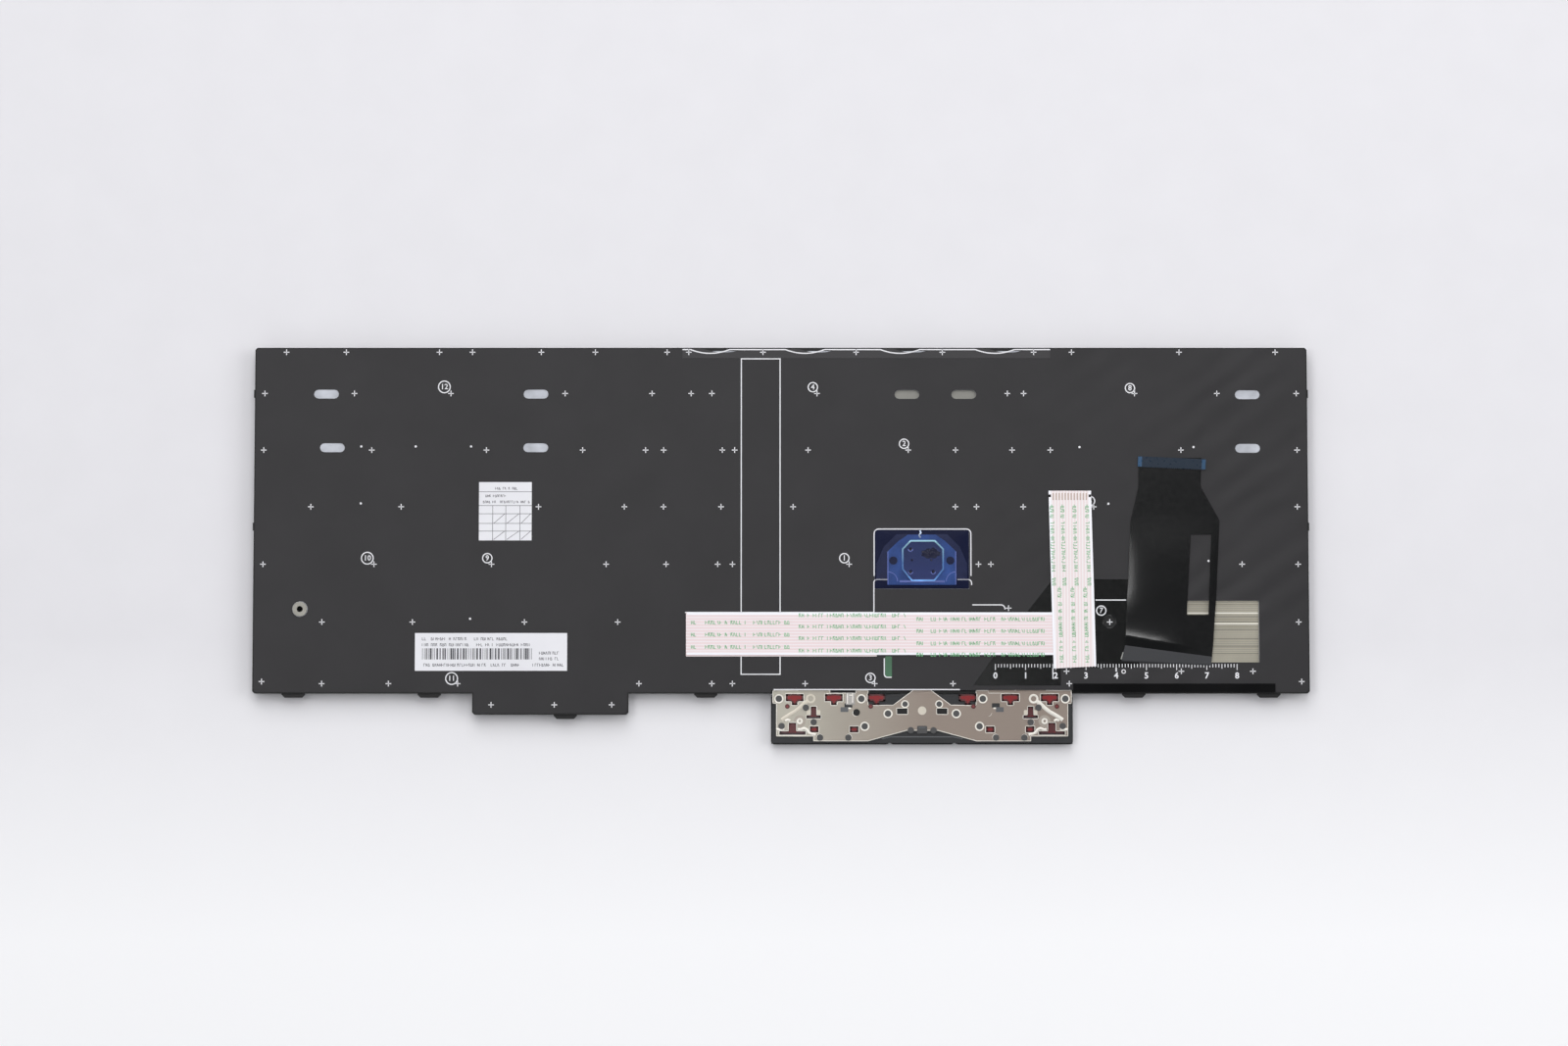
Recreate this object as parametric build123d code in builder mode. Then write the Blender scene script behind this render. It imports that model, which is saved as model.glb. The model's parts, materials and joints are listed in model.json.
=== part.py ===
from build123d import *
from collections import namedtuple
import os

# Laptop keyboard with a numeric pad, a pointing stick and three pointer buttons, lying keys down.
# Millimetres: +Z out of the rear face, +Y towards the function row, +X towards the Esc edge.
# u runs from the Esc edge and v from the function-row edge; the origin is under the middle of the
# whole outline, on the plane of the key tops.

os.makedirs("parts", exist_ok=True)

# Key field
KEY_PITCH = 19.0
ROW_PITCH = 19.0
FUNCTION_ROW_PITCH = 14.0
ARROW_ROW_PITCH = 14.9
BACKQUOTE_WIDTH = 17.35
BACKSPACE_WIDTH = 29.05
TAB_WIDTH = 26.85
CAPS_LOCK_WIDTH = 31.6
LEFT_SHIFT_WIDTH = 41.1
RIGHT_MODIFIER_WIDTH = 16.4
ARROW_WIDTH = 16.5
NUMPAD_PITCH = 17.55
FUNCTION_KEYS_IN_MAIN = 17
SIDE_MARGIN = 1.7
TOP_MARGIN = 1.3
BOTTOM_MARGIN = 4.7
ARROW_TAB_MARGIN = 0.9
SECTION_GAP = 2.0

# Keycaps, their scissor links and their domes
KEY_HEIGHT = 2.3
KEY_TOP = 0.9
KEY_WALL = 1.1
KEY_TAPER = 8.0
KEY_SPACING = 3.4
KEY_CLEARANCE = 0.35
KEY_TRAVEL = 1.8
KEY_SINK = 0.3
STRIKE_CLEARANCE = 0.2
LINK_SPAN = 7.6
LINK_WAIST = 2.0
LINK_FOOT = 1.6
LINK_THICKNESS = 0.9
LINK_SPACING = 6.6
DOME_FOOT = 2.2
DOME_TAPER = 15.0
DOME_SIDES = 6

# Bezel, plate and rear film
WEB_THICKNESS = 1.0
RIM_WALL = 1.0
LEDGE_WIDTH = 0.6
OUTLINE_CORNER = 0.7
SEAT_CLEARANCE = 0.1
MEMBRANE_THICKNESS = 0.3
PLATE_THICKNESS = 0.6
FILM_THICKNESS = 0.15
FILM_INSET = 0.4
EDGE_TAB_WIDTH = 7.7
EDGE_TAB_REACH = 1.4
EDGE_TAB_CHAMFER = 1.0
SIDE_BUMP_REACH = 0.4
SIDE_BUMP_LENGTH = 2.6
WINDOW_LENGTH = 8.3
WINDOW_WIDTH = 3.0
WINDOW_END_STEPS = 6

# Edge tape with its scallops
TAPE_THICKNESS = 0.07
TAPE_LENGTH = 122.4
TAPE_WIDTH = 3.1
SCALLOP_PITCH = 31.6
SCALLOP_COUNT = 4
SCALLOP_WIDTH = 13.0
SCALLOP_DEPTH = 1.2

# Screw boss and labels
BOSS_RADIUS = 2.4
BOSS_NECK_RADIUS = 1.7
BOSS_BORE_RADIUS = 1.0
BOSS_LEAD_RADIUS = 1.25
BOSS_HEIGHT = 0.7
BOSS_THREAD_LENGTH = 0.6
LABEL_THICKNESS = 0.1
SMALL_LABEL_WIDTH = 17.5
SMALL_LABEL_LENGTH = 19.4
LONG_LABEL_WIDTH = 50.4
LONG_LABEL_LENGTH = 12.5

# Keyboard flex, flat cable, cover film and foam
FLEX_THICKNESS = 0.15
FLEX_LIFT = 0.1
FLEX_NECK_WIDTH = 20.8
FLEX_WIDTH = 29.6
FLEX_LEAF_WIDTH = 21.0
FLEX_LEAN = 2.6
FLEX_EXIT_ROOM = 0.4
FLEX_EXIT_LENGTH = 11.0
STIFFENER_LENGTH = 3.5
STIFFENER_OVERHANG = 0.85
STIFFENER_SHIFT = 0.4
STIFFENER_TILT = 2.6
STIFFENER_THICKNESS = 0.2
TRACE_WINDOW_WIDTH = 23.9
TRACE_WINDOW_LENGTH = 20.5
CABLE_WIDTH = 14.1
CABLE_THICKNESS = 0.15
CABLE_GAP = 0.1
CABLE_RUN = 121.5
CABLE_RETURN = 63.0
CABLE_RISE = 59.0
CABLE_LEAN = 1.4
COVER_THICKNESS = 0.08
FOAM_LENGTH = 66.8
FOAM_WIDTH = 2.8
FOAM_THICKNESS = 0.5

# Pointing stick
STICK_LIFT = 1.3
STICK_CAP_RADIUS = 3.8
STICK_CAP_HEIGHT = 2.4
STICK_CAP_CLEARANCE = 0.4
STICK_FLOOR_CLEARANCE = 0.2
STICK_RING_WALL = 1.0
STICK_POST_WIDTH = 2.2
STICK_POST_SOCKET = 1.2
STICK_FOOT_RADIUS = 2.2
STICK_WINDOW_WIDTH = 31.5
STICK_WINDOW_LENGTH = 19.6
STICK_WINDOW_OFFSET = 0.4
CARRIER_WIDTH = 22.9
CARRIER_LENGTH = 11.6
CARRIER_SHOULDER = 3.0
CARRIER_THICKNESS = 0.3
SENSOR_WIDTH = 14.3
SENSOR_CORNER = 4.2
SENSOR_THICKNESS = 0.5
SENSOR_HOLE_RADIUS = 0.65
SENSOR_HOLE_PITCH = 7.5
RIVET_PITCH = 18.9
RIVET_HEAD_RADIUS = 1.35
RIVET_HEAD_HEIGHT = 0.25
RIVET_SHANK_RADIUS = 0.7
STICK_FILM_THICKNESS = 0.08
STICK_FILM_SLOPE = 68.0

# Button module: down is measured from the bracket's top edge
MODULE_HALF_WIDTH = 50.0
MODULE_LENGTH = 17.9
BRACKET_THICKNESS = 0.5
BRACKET_INSET = 0.5
BRACKET_NECK = 6.0
TONGUE_REACH = 3.0
TONGUE_WIDTH = 10.0
TONGUE_INSET = 14.0
FRAME_THICKNESS = 0.6
FRAME_INSET = 0.4
FRAME_TOP = 1.35
BOARD_THICKNESS = 0.1
BOARD_INSET = 17.5
BOARD_GAP = 0.6
INSERT_THICKNESS = 0.35
BUTTON_TRAVEL = 0.7
BUTTON_END_GAP = 0.05
BUTTON_LIFT = 0.4
BUTTON_TOP = 1.0
BUTTON_WALL = 1.2
BUTTON_TAPER = 6.0
BUTTON_GAP = 0.4
BUTTON_EDGE = 1.45
MIDDLE_HALF_WIDTH = 10.6
BOSS_FIT = 0.12
BOSS_SHY = 0.15
STAKE_RADIUS = 0.95
STAKE_FIT = 0.05
HOLE_RADIUS = 0.95

# Sides of round outlines: of the many small holes, and of the others
SMALL_HOLE_SIDES = 8
ROUND_SIDES = 16

# Heights of the layers, from the key tops up
WEB_Z = KEY_HEIGHT - KEY_SINK
MEMBRANE_Z = KEY_HEIGHT + KEY_TRAVEL + STRIKE_CLEARANCE
PLATE_Z = MEMBRANE_Z + MEMBRANE_THICKNESS
REAR_Z = PLATE_Z + PLATE_THICKNESS
FILM_Z = REAR_Z + FILM_THICKNESS
BRACKET_Z = PLATE_Z - BRACKET_THICKNESS
FRAME_Z = BRACKET_Z - FRAME_THICKNESS
BOARD_Z = FRAME_Z - BOARD_THICKNESS
INSERT_Z = BOARD_Z - BUTTON_END_GAP - BUTTON_TRAVEL - INSERT_THICKNESS
BOSS_TOP_Z = PLATE_Z - BOSS_SHY

# Extents that follow from the key field
MAIN_WIDTH = BACKQUOTE_WIDTH + 12 * KEY_PITCH + BACKSPACE_WIDTH
FUNCTION_PITCH = MAIN_WIDTH / FUNCTION_KEYS_IN_MAIN
NUMPAD_U = SIDE_MARGIN + MAIN_WIDTH + SECTION_GAP
PLATE_WIDTH = NUMPAD_U + 4 * NUMPAD_PITCH + SIDE_MARGIN
ROW_V = [TOP_MARGIN] + [TOP_MARGIN + FUNCTION_ROW_PITCH + n * ROW_PITCH for n in range(6)]
PLATE_LENGTH = ROW_V[6] + BOTTOM_MARGIN
ARROW_TAB_V = ROW_V[5] + 2 * ARROW_ROW_PITCH + ARROW_TAB_MARGIN
ARROW_U = SIDE_MARGIN + MAIN_WIDTH - 3 * ARROW_WIDTH
PLATE_INSET = RIM_WALL + SEAT_CLEARANCE
MODULE_V = PLATE_LENGTH - PLATE_INSET
OVERALL_LENGTH = MODULE_V + MODULE_LENGTH
STICK_U = SIDE_MARGIN + CAPS_LOCK_WIDTH + 5 * KEY_PITCH
STICK_V = ROW_V[4] - STICK_LIFT
RING_RADIUS = STICK_CAP_RADIUS + STICK_CAP_CLEARANCE + STICK_RING_WALL

Key = namedtuple("Key", "name u v width length")


def spot(u, v):
    """Gives the X and Y of a place measured from the Esc edge and the function-row edge."""
    return PLATE_WIDTH / 2 - u, OVERALL_LENGTH / 2 - v


def level(z):
    """Gives a drawing plane at height z."""
    return Plane.XY.offset(z)


def module_plane(z):
    """Gives a drawing plane on the button module's centre line and top edge at height z."""
    x, y = spot(STICK_U, MODULE_V)
    return Plane(origin=(x, y, z))


def draw_panel(u, v, width, length, mode=Mode.ADD):
    """Draws a rectangle centred on (u, v) in the open sketch."""
    with Locations(spot(u, v)):
        Rectangle(width, length, mode=mode)


def draw_cut_panel(u, v, width, length, corner, mode=Mode.ADD):
    """Draws a rectangle centred on (u, v) with its corners cut off, in the open sketch."""
    x, y = width / 2, length / 2
    with Locations(spot(u, v)):
        Polygon((corner - x, -y), (x - corner, -y), (x, corner - y), (x, y - corner), (x - corner, y),
                (corner - x, y), (-x, y - corner), (-x, corner - y), align=None, mode=mode)


def draw_window(u, v):
    """Cuts an oblong window with round ends, centred on (u, v), out of the open sketch."""
    points = []
    for side in (1, -1):
        for step in range(WINDOW_END_STEPS + 1):
            turn = Vector(0, -side * WINDOW_WIDTH / 2).rotate(Axis.Z, 180 * step / WINDOW_END_STEPS)
            points.append((turn.X + side * (WINDOW_LENGTH - WINDOW_WIDTH) / 2, turn.Y))
    with Locations(spot(u, v)):
        Polygon(*points, align=None, mode=Mode.SUBTRACT)


def draw_outline(inset, mode=Mode.ADD):
    """Draws the keyboard's outline with its arrow-key tab, drawn in by inset."""
    draw_cut_panel(PLATE_WIDTH / 2, PLATE_LENGTH / 2, PLATE_WIDTH - 2 * inset, PLATE_LENGTH - 2 * inset,
                   OUTLINE_CORNER, mode)
    tab_length = ARROW_TAB_V - ROW_V[5]
    tab_width = 3 * ARROW_WIDTH + 2 * ARROW_TAB_MARGIN + KEY_CLEARANCE
    draw_cut_panel(ARROW_U + 1.5 * ARROW_WIDTH, ARROW_TAB_V - tab_length / 2, tab_width - 2 * inset,
                   tab_length - 2 * inset, OUTLINE_CORNER, mode)


def draw_small_hole(radius, mode=Mode.SUBTRACT):
    """Draws a small round hole or post, with few sides because there are many, in the open sketch."""
    RegularPolygon(radius, SMALL_HOLE_SIDES, mode=mode)


def draw_round(radius, mode=Mode.ADD):
    """Draws a round outline with a moderate number of sides in the open sketch."""
    RegularPolygon(radius, ROUND_SIDES, mode=mode)


def key_row(names, widths, u, v, length):
    """Lists the keys of one row, from the Esc side on."""
    keys = []
    for name, width in zip(names, widths):
        keys.append(Key(name, u, v, width, length))
        u += width
    return keys


def list_keys():
    """Lists every key with its place and the room it takes; like keys share a name."""
    start, number, letter_row, home, lower, bottom = SIDE_MARGIN, *ROW_V[1:6]
    twelve, eleven, ten = [KEY_PITCH] * 12, [KEY_PITCH] * 11, [KEY_PITCH] * 10
    letters = ["letter_keys"]
    keys = key_row(["function_keys"] * FUNCTION_KEYS_IN_MAIN, [FUNCTION_PITCH] * FUNCTION_KEYS_IN_MAIN,
                   start, ROW_V[0], FUNCTION_ROW_PITCH)
    keys += key_row(["key_backquote"] + letters * 12 + ["key_backspace"],
                    [BACKQUOTE_WIDTH] + twelve + [BACKSPACE_WIDTH], start, number, ROW_PITCH)
    keys += key_row(["key_tab"] + letters * 12 + ["key_backslash"],
                    [TAB_WIDTH] + twelve + [MAIN_WIDTH - TAB_WIDTH - 12 * KEY_PITCH],
                    start, letter_row, ROW_PITCH)
    keys += key_row(["key_caps_lock"] + letters * 4 + ["key_g", "key_h"] + letters * 5 + ["key_enter"],
                    [CAPS_LOCK_WIDTH] + eleven + [MAIN_WIDTH - CAPS_LOCK_WIDTH - 11 * KEY_PITCH],
                    start, home, ROW_PITCH)
    keys += key_row(["key_left_shift"] + letters * 4 + ["key_b"] + letters * 5 + ["key_right_shift"],
                    [LEFT_SHIFT_WIDTH] + ten + [MAIN_WIDTH - LEFT_SHIFT_WIDTH - 10 * KEY_PITCH],
                    start, lower, ROW_PITCH)
    space = MAIN_WIDTH - 4 * KEY_PITCH - 3 * RIGHT_MODIFIER_WIDTH - 3 * ARROW_WIDTH
    keys += key_row(["key_fn", "key_left_ctrl", "key_system", "key_left_alt", "key_space",
                     "key_right_alt", "key_print_screen", "key_right_ctrl"],
                    [KEY_PITCH] * 4 + [space] + [RIGHT_MODIFIER_WIDTH] * 3, start, bottom, ROW_PITCH)
    keys += key_row(["key_page_up", "key_up", "key_page_down"], [ARROW_WIDTH] * 3,
                    ARROW_U, bottom, ARROW_ROW_PITCH)
    keys += key_row(["key_left", "key_down", "key_right"], [ARROW_WIDTH] * 3,
                    ARROW_U, bottom + ARROW_ROW_PITCH, ARROW_ROW_PITCH)
    pads = [NUMPAD_PITCH] * 4
    keys += key_row(["function_keys"] * 4, pads, NUMPAD_U, ROW_V[0], FUNCTION_ROW_PITCH)
    keys += key_row(["numpad_keys"] * 4, pads, NUMPAD_U, number, ROW_PITCH)
    for row in (letter_row, home, lower):
        keys += key_row(["numpad_keys"] * 3, pads, NUMPAD_U, row, ROW_PITCH)
    tall_u = NUMPAD_U + 3 * NUMPAD_PITCH
    keys += key_row(["key_num_plus"], pads, tall_u, letter_row, 2 * ROW_PITCH)
    keys += key_row(["key_num_enter"], pads, tall_u, lower, 2 * ROW_PITCH)
    keys += key_row(["key_num_zero", "numpad_keys"], [2 * NUMPAD_PITCH, NUMPAD_PITCH],
                    NUMPAD_U, bottom, ROW_PITCH)
    return keys


KEYS = list_keys()
FIXED_GROUPS = ("letter_keys", "numpad_keys", "function_keys")
MOVING_KEYS = [key for key in KEYS if key.name not in FIXED_GROUPS]
STICK_NEIGHBOURS = ("key_g", "key_h", "key_b")


def key_spot(key):
    """Gives the X and Y of a key's centre."""
    return spot(key.u + key.width / 2, key.v + key.length / 2)


def spots_by_size(keys):
    """Groups the centres of keys by the room that each takes."""
    groups = {}
    for key in keys:
        size = round(key.width, 6), round(key.length, 6)
        groups.setdefault(size, []).append(key_spot(key))
    return groups


def add_link(lean):
    """Adds one link of a scissor pair, a bar that leans one way from the cap to the membrane."""
    start, end = lean * LINK_SPAN / 2, -lean * LINK_SPAN / 2
    with BuildSketch(Plane.XZ.offset(lean * LINK_SPACING / 2)) as bar:
        Polygon((start, KEY_TOP), (start - lean * LINK_FOOT, KEY_TOP), (end, MEMBRANE_Z),
                (end + lean * LINK_FOOT, MEMBRANE_Z), align=None)
    extrude(bar.sketch, amount=LINK_THICKNESS / 2, both=True)


def moving_keycap(width, length, stick=None):
    """Makes one hollow keycap, touch face down, on its own centre.

    stick is the centre of the stick ring, where the cap makes way for it.
    """
    cap_width, cap_length = width - KEY_SPACING, length - KEY_SPACING
    with BuildPart() as cap:
        with BuildSketch(level(KEY_HEIGHT)):
            Rectangle(cap_width, cap_length)
        extrude(amount=-KEY_HEIGHT, taper=KEY_TAPER)
        with BuildSketch(level(KEY_TOP)):
            Rectangle(cap_width - 2 * KEY_WALL, cap_length - 2 * KEY_WALL)
            if stick:
                with Locations(stick):
                    draw_round(RING_RADIUS + KEY_CLEARANCE + KEY_WALL, Mode.SUBTRACT)
        extrude(amount=KEY_HEIGHT - KEY_TOP, mode=Mode.SUBTRACT)
        if stick:
            with BuildSketch():
                with Locations(stick):
                    draw_round(RING_RADIUS + KEY_CLEARANCE)
            extrude(amount=KEY_HEIGHT, mode=Mode.SUBTRACT)
    return cap.part


def fixed_keycap(width, length):
    """Makes one keycap, touch face down, in one with the crossed links that it stands on."""
    half_span, half_waist = LINK_SPAN / 2, LINK_WAIST / 2
    waist_z = (KEY_HEIGHT + MEMBRANE_Z) / 2
    with BuildPart() as cap:
        with BuildSketch(level(KEY_HEIGHT)):
            Rectangle(width - KEY_SPACING, length - KEY_SPACING)
        extrude(amount=-KEY_HEIGHT, taper=KEY_TAPER)
        with BuildSketch(Plane.XZ):
            Polygon((-half_span, KEY_HEIGHT), (half_span, KEY_HEIGHT), (half_waist, waist_z),
                    (half_span, MEMBRANE_Z), (-half_span, MEMBRANE_Z), (-half_waist, waist_z), align=None)
        extrude(amount=LINK_THICKNESS, both=True)
    return cap.part


# Keys that stand fast on their scissor links, one node for each block of like keys
for group in FIXED_GROUPS:
    placed = spots_by_size(key for key in KEYS if key.name == group)
    caps = {size: fixed_keycap(*size) for size in placed}
    with BuildPart() as fixed_keys:
        for size, spots in placed.items():
            with Locations(*spots):
                add(caps[size])
    fixed_keys.part.label = group
    export_step(fixed_keys.part, f"parts/{group}.step")

# Keys that travel, one node each
for key in MOVING_KEYS:
    x, y = key_spot(key)
    stick_x, stick_y = spot(STICK_U, STICK_V)
    stick_place = (stick_x - x, stick_y - y) if key.name in STICK_NEIGHBOURS else None
    blank = moving_keycap(key.width, key.length, stick_place)
    with BuildPart() as moving_key:
        with Locations((x, y)):
            add(blank)
    moving_key.part.label = key.name
    export_step(moving_key.part, f"parts/{key.name}.step")

# Scissor links under the keys that travel
with BuildPart() as link_pair:
    for lean in (-1, 1):
        add_link(lean)

with BuildPart() as scissor_links:
    with Locations(*[key_spot(key) for key in MOVING_KEYS]):
        add(link_pair.part)
scissor_links.part.label = "scissor_links"
export_step(scissor_links.part, "parts/scissor_links.step")

# Rubber domes between the links
with BuildPart() as dome:
    with BuildSketch(level(MEMBRANE_Z)):
        RegularPolygon(DOME_FOOT, DOME_SIDES)
    extrude(amount=KEY_TOP - MEMBRANE_Z, taper=DOME_TAPER)

with BuildPart() as rubber_domes:
    with Locations(*[key_spot(key) for key in MOVING_KEYS]):
        add(dome.part)
rubber_domes.part.label = "rubber_domes"
export_step(rubber_domes.part, "parts/rubber_domes.step")

# Edge tabs: (u, v) of the middle of each on the lower edge
TAB_V = PLATE_LENGTH
EDGE_TABS = [(13.5, TAB_V), (58.2, TAB_V), (199.9, TAB_V), (PLATE_WIDTH - 58.5, TAB_V),
             (PLATE_WIDTH - 13.5, TAB_V), (ARROW_U + 1.2 * ARROW_WIDTH, ARROW_TAB_V)]
SIDE_BUMPS = (ROW_V[1], ROW_V[3] + ROW_PITCH / 3)

# Bezel: a grid of key openings inside a rim that the plate drops into
with BuildPart() as bezel:
    with BuildSketch(level(WEB_Z)):
        draw_outline(0)
        opening = 2 * KEY_CLEARANCE - KEY_SPACING
        for (width, length), spots in spots_by_size(KEYS).items():
            with Locations(*spots):
                Rectangle(width + opening, length + opening, mode=Mode.SUBTRACT)
        with Locations(spot(STICK_U, STICK_V)):
            draw_round(RING_RADIUS)
            draw_round(RING_RADIUS - STICK_RING_WALL, Mode.SUBTRACT)
    extrude(amount=WEB_THICKNESS)
    with BuildSketch(level(WEB_Z + WEB_THICKNESS)):
        draw_outline(0)
        draw_outline(RIM_WALL + LEDGE_WIDTH, mode=Mode.SUBTRACT)
    extrude(amount=PLATE_Z - WEB_Z - WEB_THICKNESS)
    with BuildSketch(level(PLATE_Z)):
        draw_outline(0)
        draw_outline(RIM_WALL, mode=Mode.SUBTRACT)
    extrude(amount=PLATE_THICKNESS)
    with BuildSketch(level(WEB_Z + WEB_THICKNESS)):
        half, reach = EDGE_TAB_WIDTH / 2, EDGE_TAB_REACH
        with Locations(*[spot(*tab) for tab in EDGE_TABS]):
            Polygon((-half, RIM_WALL), (half, RIM_WALL), (half, EDGE_TAB_CHAMFER - reach),
                    (half - EDGE_TAB_CHAMFER, -reach), (EDGE_TAB_CHAMFER - half, -reach),
                    (-half, EDGE_TAB_CHAMFER - reach), align=None)
        for u in (0, PLATE_WIDTH):
            for v in SIDE_BUMPS:
                draw_panel(u, v, 2 * SIDE_BUMP_REACH, SIDE_BUMP_LENGTH)
    extrude(amount=PLATE_Z - WEB_Z - WEB_THICKNESS)
    with BuildSketch(module_plane(BRACKET_Z - BOSS_FIT)):
        Rectangle(2 * MODULE_HALF_WIDTH, 4 * (RIM_WALL + LEDGE_WIDTH))
    extrude(amount=REAR_Z - BRACKET_Z + BOSS_FIT, mode=Mode.SUBTRACT)
bezel.part.label = "bezel"
export_step(bezel.part, "parts/bezel.step")

# Places on the rear face: film windows, the trace window and the flex exit beside it
END_WINDOWS = [(19.9, 15.7), (19.9, 33.6), (PLATE_WIDTH - 23.8, 15.5), (PLATE_WIDTH - 25.9, 33.4),
               (PLATE_WIDTH - 93.5, 15.5), (PLATE_WIDTH - 93.5, 33.4)]
MEMBRANE_WINDOWS = [(STICK_U + 4.8, 15.6), (STICK_U - 14.1, 15.6)]
BOSS_U, BOSS_V = PLATE_WIDTH - 15.6, PLATE_LENGTH - 27.9
TRACE_U, TRACE_V = 28.5, PLATE_LENGTH - 20.5
FLEX_U, FLEX_FOOT_V = 47.4, PLATE_LENGTH - 9.4
FLEX_EXIT_WIDTH = FLEX_LEAF_WIDTH + 5 * FLEX_EXIT_ROOM
STICK_WINDOW_V = STICK_V - STICK_WINDOW_OFFSET


def draw_flex_windows(mode):
    """Draws the trace window and the flex exit that runs into it."""
    draw_panel(TRACE_U, TRACE_V, TRACE_WINDOW_WIDTH, TRACE_WINDOW_LENGTH, mode)
    exit_v = FLEX_FOOT_V + FLEX_THICKNESS + FLEX_EXIT_ROOM - FLEX_EXIT_LENGTH / 2
    draw_panel(FLEX_U - FLEX_LEAN / 2, exit_v, FLEX_EXIT_WIDTH, FLEX_EXIT_LENGTH, mode)


# Base plate: stamped steel sheet
with BuildPart() as base_plate:
    with BuildSketch(level(PLATE_Z)):
        draw_outline(PLATE_INSET)
        draw_flex_windows(Mode.SUBTRACT)
        for place in MEMBRANE_WINDOWS:
            draw_window(*place)
        with Locations(spot(BOSS_U, BOSS_V)):
            draw_round(BOSS_NECK_RADIUS, Mode.SUBTRACT)
        with Locations(spot(STICK_U, STICK_V)):
            draw_round(STICK_FOOT_RADIUS + STICK_CAP_CLEARANCE, Mode.SUBTRACT)
            with GridLocations(RIVET_PITCH, 0, 2, 1):
                draw_small_hole(RIVET_SHANK_RADIUS)
    extrude(amount=PLATE_THICKNESS)
base_plate.part.label = "base_plate"
export_step(base_plate.part, "parts/base_plate.step")

# Membrane: printed sheet between the plate and the domes, clear of the bracket and the boss's screw
with BuildPart() as membrane:
    with BuildSketch(level(MEMBRANE_Z)):
        draw_outline(RIM_WALL + LEDGE_WIDTH + SEAT_CLEARANCE)
        with Locations(spot(BOSS_U, BOSS_V)):
            draw_round(BOSS_LEAD_RADIUS + SEAT_CLEARANCE, Mode.SUBTRACT)
        draw_panel(STICK_U, MODULE_V, 2 * MODULE_HALF_WIDTH, 2 * (TONGUE_REACH + SEAT_CLEARANCE),
                   Mode.SUBTRACT)
        with Locations(spot(STICK_U, STICK_V)):
            draw_round(STICK_FOOT_RADIUS + STICK_CAP_CLEARANCE, Mode.SUBTRACT)
    extrude(amount=MEMBRANE_THICKNESS)
membrane.part.label = "membrane"
export_step(membrane.part, "parts/membrane.step")

# Scallops along the function-row edge, shared by the film and the tape
TAPE_U = STICK_U + 18.3
SCALLOP_RADIUS = (SCALLOP_WIDTH**2 / 4 + SCALLOP_DEPTH**2) / (2 * SCALLOP_DEPTH)


def draw_scallops(depth):
    """Cuts the row of shallow arcs out of the open sketch, to this depth below the film's edge."""
    x, y = spot(TAPE_U, FILM_INSET)
    with Locations((x, y + SCALLOP_RADIUS - depth)):
        with GridLocations(SCALLOP_PITCH, 0, SCALLOP_COUNT, 1):
            Circle(SCALLOP_RADIUS, mode=Mode.SUBTRACT)


# Rear film: printed skin over the plate and most of the rim
with BuildPart() as rear_film:
    with BuildSketch(level(REAR_Z)):
        draw_outline(FILM_INSET)
        draw_scallops(SCALLOP_DEPTH)
        draw_flex_windows(Mode.SUBTRACT)
        for place in END_WINDOWS + MEMBRANE_WINDOWS:
            draw_window(*place)
        with Locations(spot(BOSS_U, BOSS_V)):
            draw_round(BOSS_RADIUS + 2 * SEAT_CLEARANCE, Mode.SUBTRACT)
        draw_panel(STICK_U, STICK_WINDOW_V, STICK_WINDOW_WIDTH, STICK_WINDOW_LENGTH, Mode.SUBTRACT)
        draw_panel(STICK_U, MODULE_V + RIM_WALL, 2 * MODULE_HALF_WIDTH, 2 * RIM_WALL, Mode.SUBTRACT)
    extrude(amount=FILM_THICKNESS)
rear_film.part.label = "rear_film"
export_step(rear_film.part, "parts/rear_film.step")

# Edge tape along the function row
with BuildPart() as edge_tape:
    with BuildSketch(level(FILM_Z)):
        draw_panel(TAPE_U, FILM_INSET + TAPE_WIDTH / 2, TAPE_LENGTH, TAPE_WIDTH)
        draw_scallops(SCALLOP_DEPTH)
    extrude(amount=TAPE_THICKNESS)
edge_tape.part.label = "edge_tape"
export_step(edge_tape.part, "parts/edge_tape.step")

# Screw boss riveted into the plate, threaded in its head and drilled wider below the thread
LEAD_LENGTH = PLATE_THICKNESS + BOSS_HEIGHT - BOSS_THREAD_LENGTH

with BuildPart() as screw_boss:
    with BuildSketch(level(REAR_Z)):
        with Locations(spot(BOSS_U, BOSS_V)):
            Circle(BOSS_RADIUS)
    extrude(amount=BOSS_HEIGHT)
    with BuildSketch(level(PLATE_Z)):
        with Locations(spot(BOSS_U, BOSS_V)):
            draw_round(BOSS_NECK_RADIUS)
    extrude(amount=PLATE_THICKNESS)
    with BuildSketch(level(PLATE_Z)):
        with Locations(spot(BOSS_U, BOSS_V)):
            Circle(BOSS_LEAD_RADIUS)
    extrude(amount=LEAD_LENGTH, mode=Mode.SUBTRACT)
    with BuildSketch(level(PLATE_Z + LEAD_LENGTH)):
        with Locations(spot(BOSS_U, BOSS_V)):
            Circle(BOSS_BORE_RADIUS)
    extrude(amount=BOSS_THREAD_LENGTH, mode=Mode.SUBTRACT)
screw_boss.part.label = "screw_boss"
export_step(screw_boss.part, "parts/screw_boss.step")

# Labels on the film, placed from the edge far from Esc
SMALL_LABEL_U, SMALL_LABEL_V = PLATE_WIDTH - 83.5, 54.6
LONG_LABEL_U, LONG_LABEL_V = PLATE_WIDTH - 79.0, PLATE_LENGTH - 13.7

with BuildPart() as label_small:
    with BuildSketch(level(FILM_Z)):
        draw_panel(SMALL_LABEL_U, SMALL_LABEL_V, SMALL_LABEL_WIDTH, SMALL_LABEL_LENGTH)
    extrude(amount=LABEL_THICKNESS)
label_small.part.label = "label_small"
export_step(label_small.part, "parts/label_small.step")

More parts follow.
